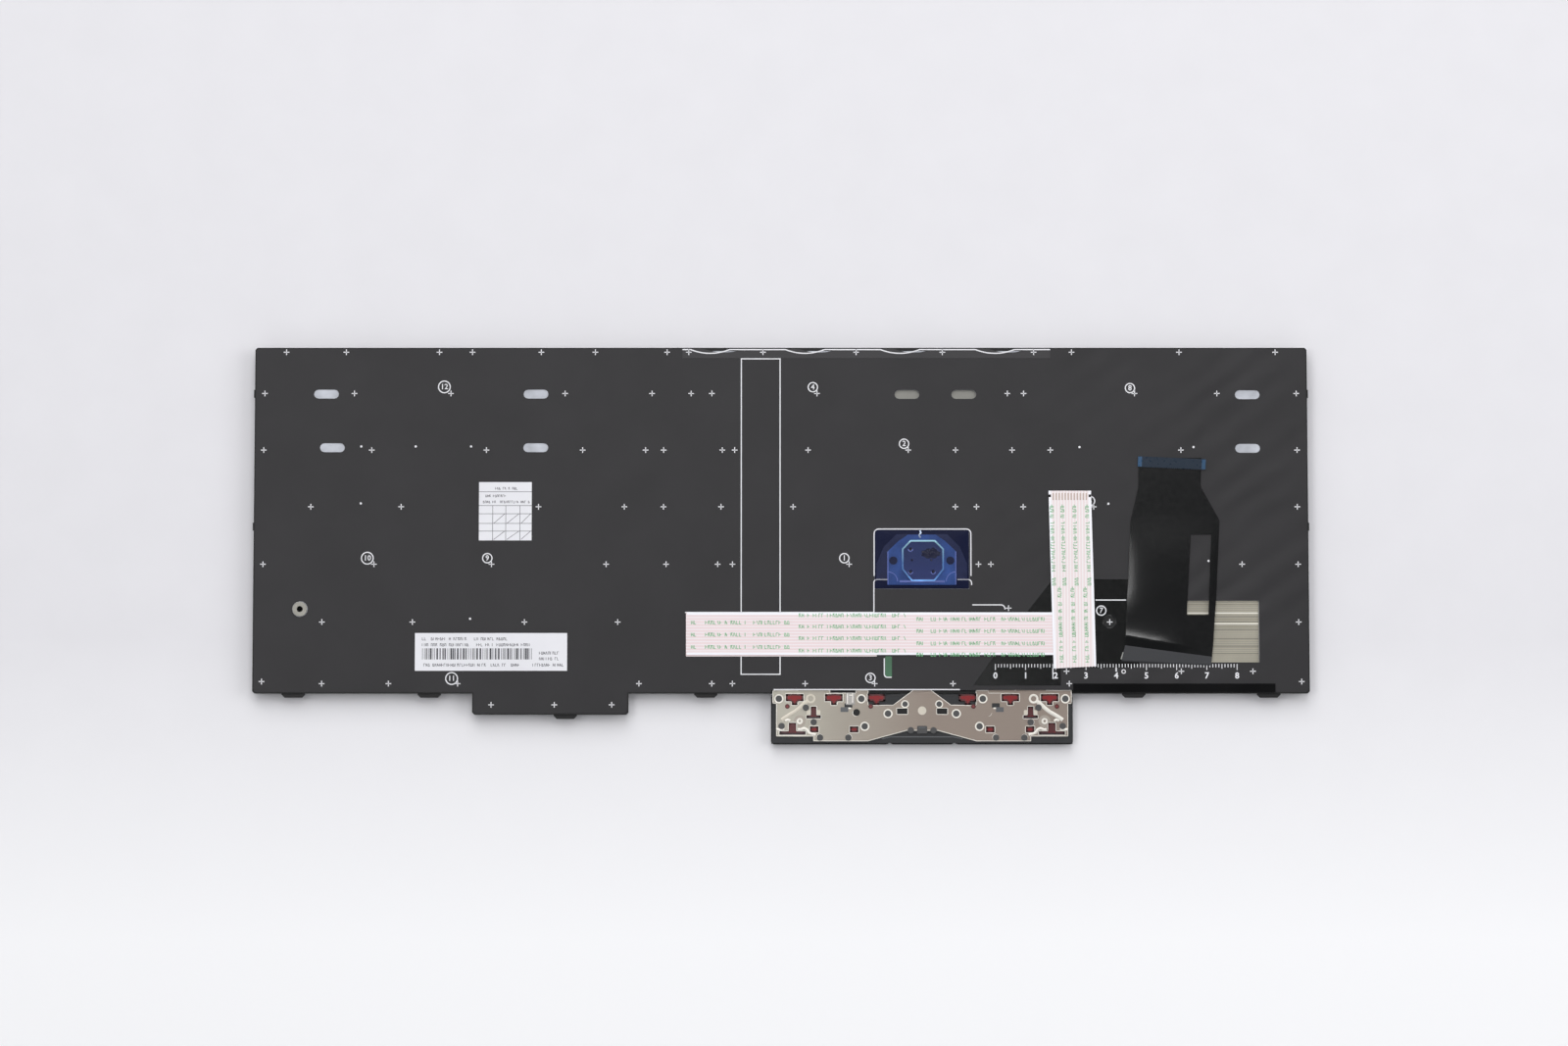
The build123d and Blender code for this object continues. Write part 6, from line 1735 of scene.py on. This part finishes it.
@dataclass
class KeyField:
    """Every key with its legend, its links and its dome, and the bezel round them."""

    ink: float = 0.03
    legend: float = 2.6
    small_legend: float = 1.7
    link_top: float = 0.9
    link_foot: float = 4.3
    travel: float = 1.8
    stick_room: float = 5.55
    LETTERS = ("1 2 3 4 5 6 7 8 9 0 - = Q W E R T Y U I O P [ ] A S D F J K L ; ' Z X C V N M , . /").split()
    FINISHES = [KEY_PLASTIC, LEGEND, LINK_PLASTIC, DOME_RUBBER]
    NEAR_STICK = ("key_g", "key_h", "key_b")
    PADS = "Num / * - 7 8 9 4 5 6 1 2 3 .".split()
    FUNCTIONS = "Esc F1 F2 F3 F4 F5 F6 F7 F8 F9 F10 F11 F12 Home End Insert Delete Calc Lock Task Menu".split()
    NAMES = {"key_backquote": "`", "key_backspace": "Backspace", "key_tab": "Tab", "key_backslash": "\\",
             "key_caps_lock": "Caps Lock", "key_enter": "Enter", "key_left_shift": "Shift",
             "key_right_shift": "Shift", "key_fn": "Fn", "key_left_ctrl": "Ctrl", "key_system": "",
             "key_left_alt": "Alt", "key_space": "", "key_right_alt": "Alt", "key_print_screen": "PrtSc",
             "key_right_ctrl": "Ctrl", "key_page_up": "PgUp", "key_up": "^", "key_page_down": "PgDn",
             "key_left": "<", "key_down": "v", "key_right": ">", "key_num_plus": "+", "key_num_enter": "Enter",
             "key_num_zero": "0", "key_g": "G", "key_h": "H", "key_b": "B"}

    def build(self, frame: Frame) -> None:
        """Dresses the bezel and replaces every key."""
        frame.dress(BLACK_PLASTIC, "bezel")
        frame.dress(BOSS_STEEL, "screw_boss")
        stick = frame.middle("stick_cap")
        self.ring = (stick[0], stick[1], self.stick_room)
        for node, words in (("letter_keys", self.LETTERS), ("numpad_keys", self.PADS),
                            ("function_keys", self.FUNCTIONS)):
            self.fixed_block(frame, node, words)
        for node, words in self.NAMES.items():
            self.moving_key(frame, node, words)

    def fixed_block(self, frame: Frame, node: str, words: list[str]) -> None:
        """Makes one block of keys that stand fast, on their links."""
        faces = frame.key_faces(node)
        caps = [Keycap().shape(rect) for rect in faces]
        marks = [self.mark(rect, word) for rect, word in zip(faces, words) if word]
        shape = join(*caps, *[mark.painted(1) for mark in marks], self.links().scattered(centre(faces)))
        make_piece(f"{node}_caps", shape, self.FINISHES, replaces=(node,))

    def moving_key(self, frame: Frame, node: str, words: str) -> None:
        """Makes one key that travels, with its links and dome."""
        flat = frame.flat_faces(node, 0.0).reshape(-1, 2)
        rect = np.concatenate([flat.min(0), flat.max(0)])
        near_stick = node in self.NEAR_STICK
        if near_stick:
            rect = Keycap().touch_face(*frame.box(node))
        parts = [Keycap().shape(rect, self.ring if near_stick else None)]
        if words:
            parts.append(self.mark(rect, words).painted(1))
        make_piece(f"{node}_cap", join(*parts), [KEY_PLASTIC, LEGEND], body=node, replaces=(node,))
        x, y = centre(rect)
        links = make_piece(f"{node}_links", self.links().moved(x, y), self.FINISHES,
                           replaces=("scissor_links", "rubber_domes"))
        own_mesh(links)

    def mark(self, rect: Array, words: str) -> Shape:
        """Prints a legend near the far left corner of a touch face, single marks larger than words."""
        height = self.legend if len(words) == 1 else self.small_legend
        type_shape = letters(words, height, -self.ink / 2, self.ink / 2).turned_over()
        high = type_shape.points.max(0)
        placed = type_shape.moved(rect[2] - 2.0 - high[0], rect[3] - 1.9 - high[1])
        half = (rect[2:] - rect[:2]) / 2
        share = np.clip(np.max(np.abs((placed.points[:, :2] - centre(rect)) / half), 1), 0, 1)
        placed.points[:, 2] = np.maximum(placed.points[:, 2] + Keycap().dish * (1 - share**2), 0.0)
        return placed

    def links(self) -> Shape:
        """Makes a pair of leaning links and the dome between them, on the key's middle."""
        span, foot, thick, gap = 7.6, 1.6, 0.9, 6.6
        bars = []
        for lean in (-1, 1):
            x = lean * np.array([span / 2, span / 2 - foot, -span / 2, -span / 2 + foot])
            z = np.array([self.link_top, self.link_top, self.link_foot, self.link_foot])
            y = -lean * gap / 2
            rings = np.stack([np.stack([x, np.full(4, y + side * thick / 2), z], -1) for side in (-1, 1)])
            bars.append(loft(rings if lean > 0 else rings[::-1]))
        profile = [(0.9, self.link_top), (1.2, self.link_top + 0.1), (1.35, 1.6), (1.9, 3.2), (2.2, 4.1),
                   (2.2, self.link_foot)]
        return join(*[bar.painted(2) for bar in bars], turned(profile, 16).painted(3))


def main() -> None:
    """Builds the keyboard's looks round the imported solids."""
    logging.basicConfig(level=logging.INFO, format="%(name)s: %(message)s")
    bpy.context.scene.view_settings.view_transform = "Standard"
    frame = Frame()
    Studio().set_up()
    for assembly in (RearFilm(), Labels(), FlatCable(), FlexTail(), PointingStick(), ButtonModule(), KeyField()):
        assembly.build(frame)


if __name__ == "__main__":
    main()
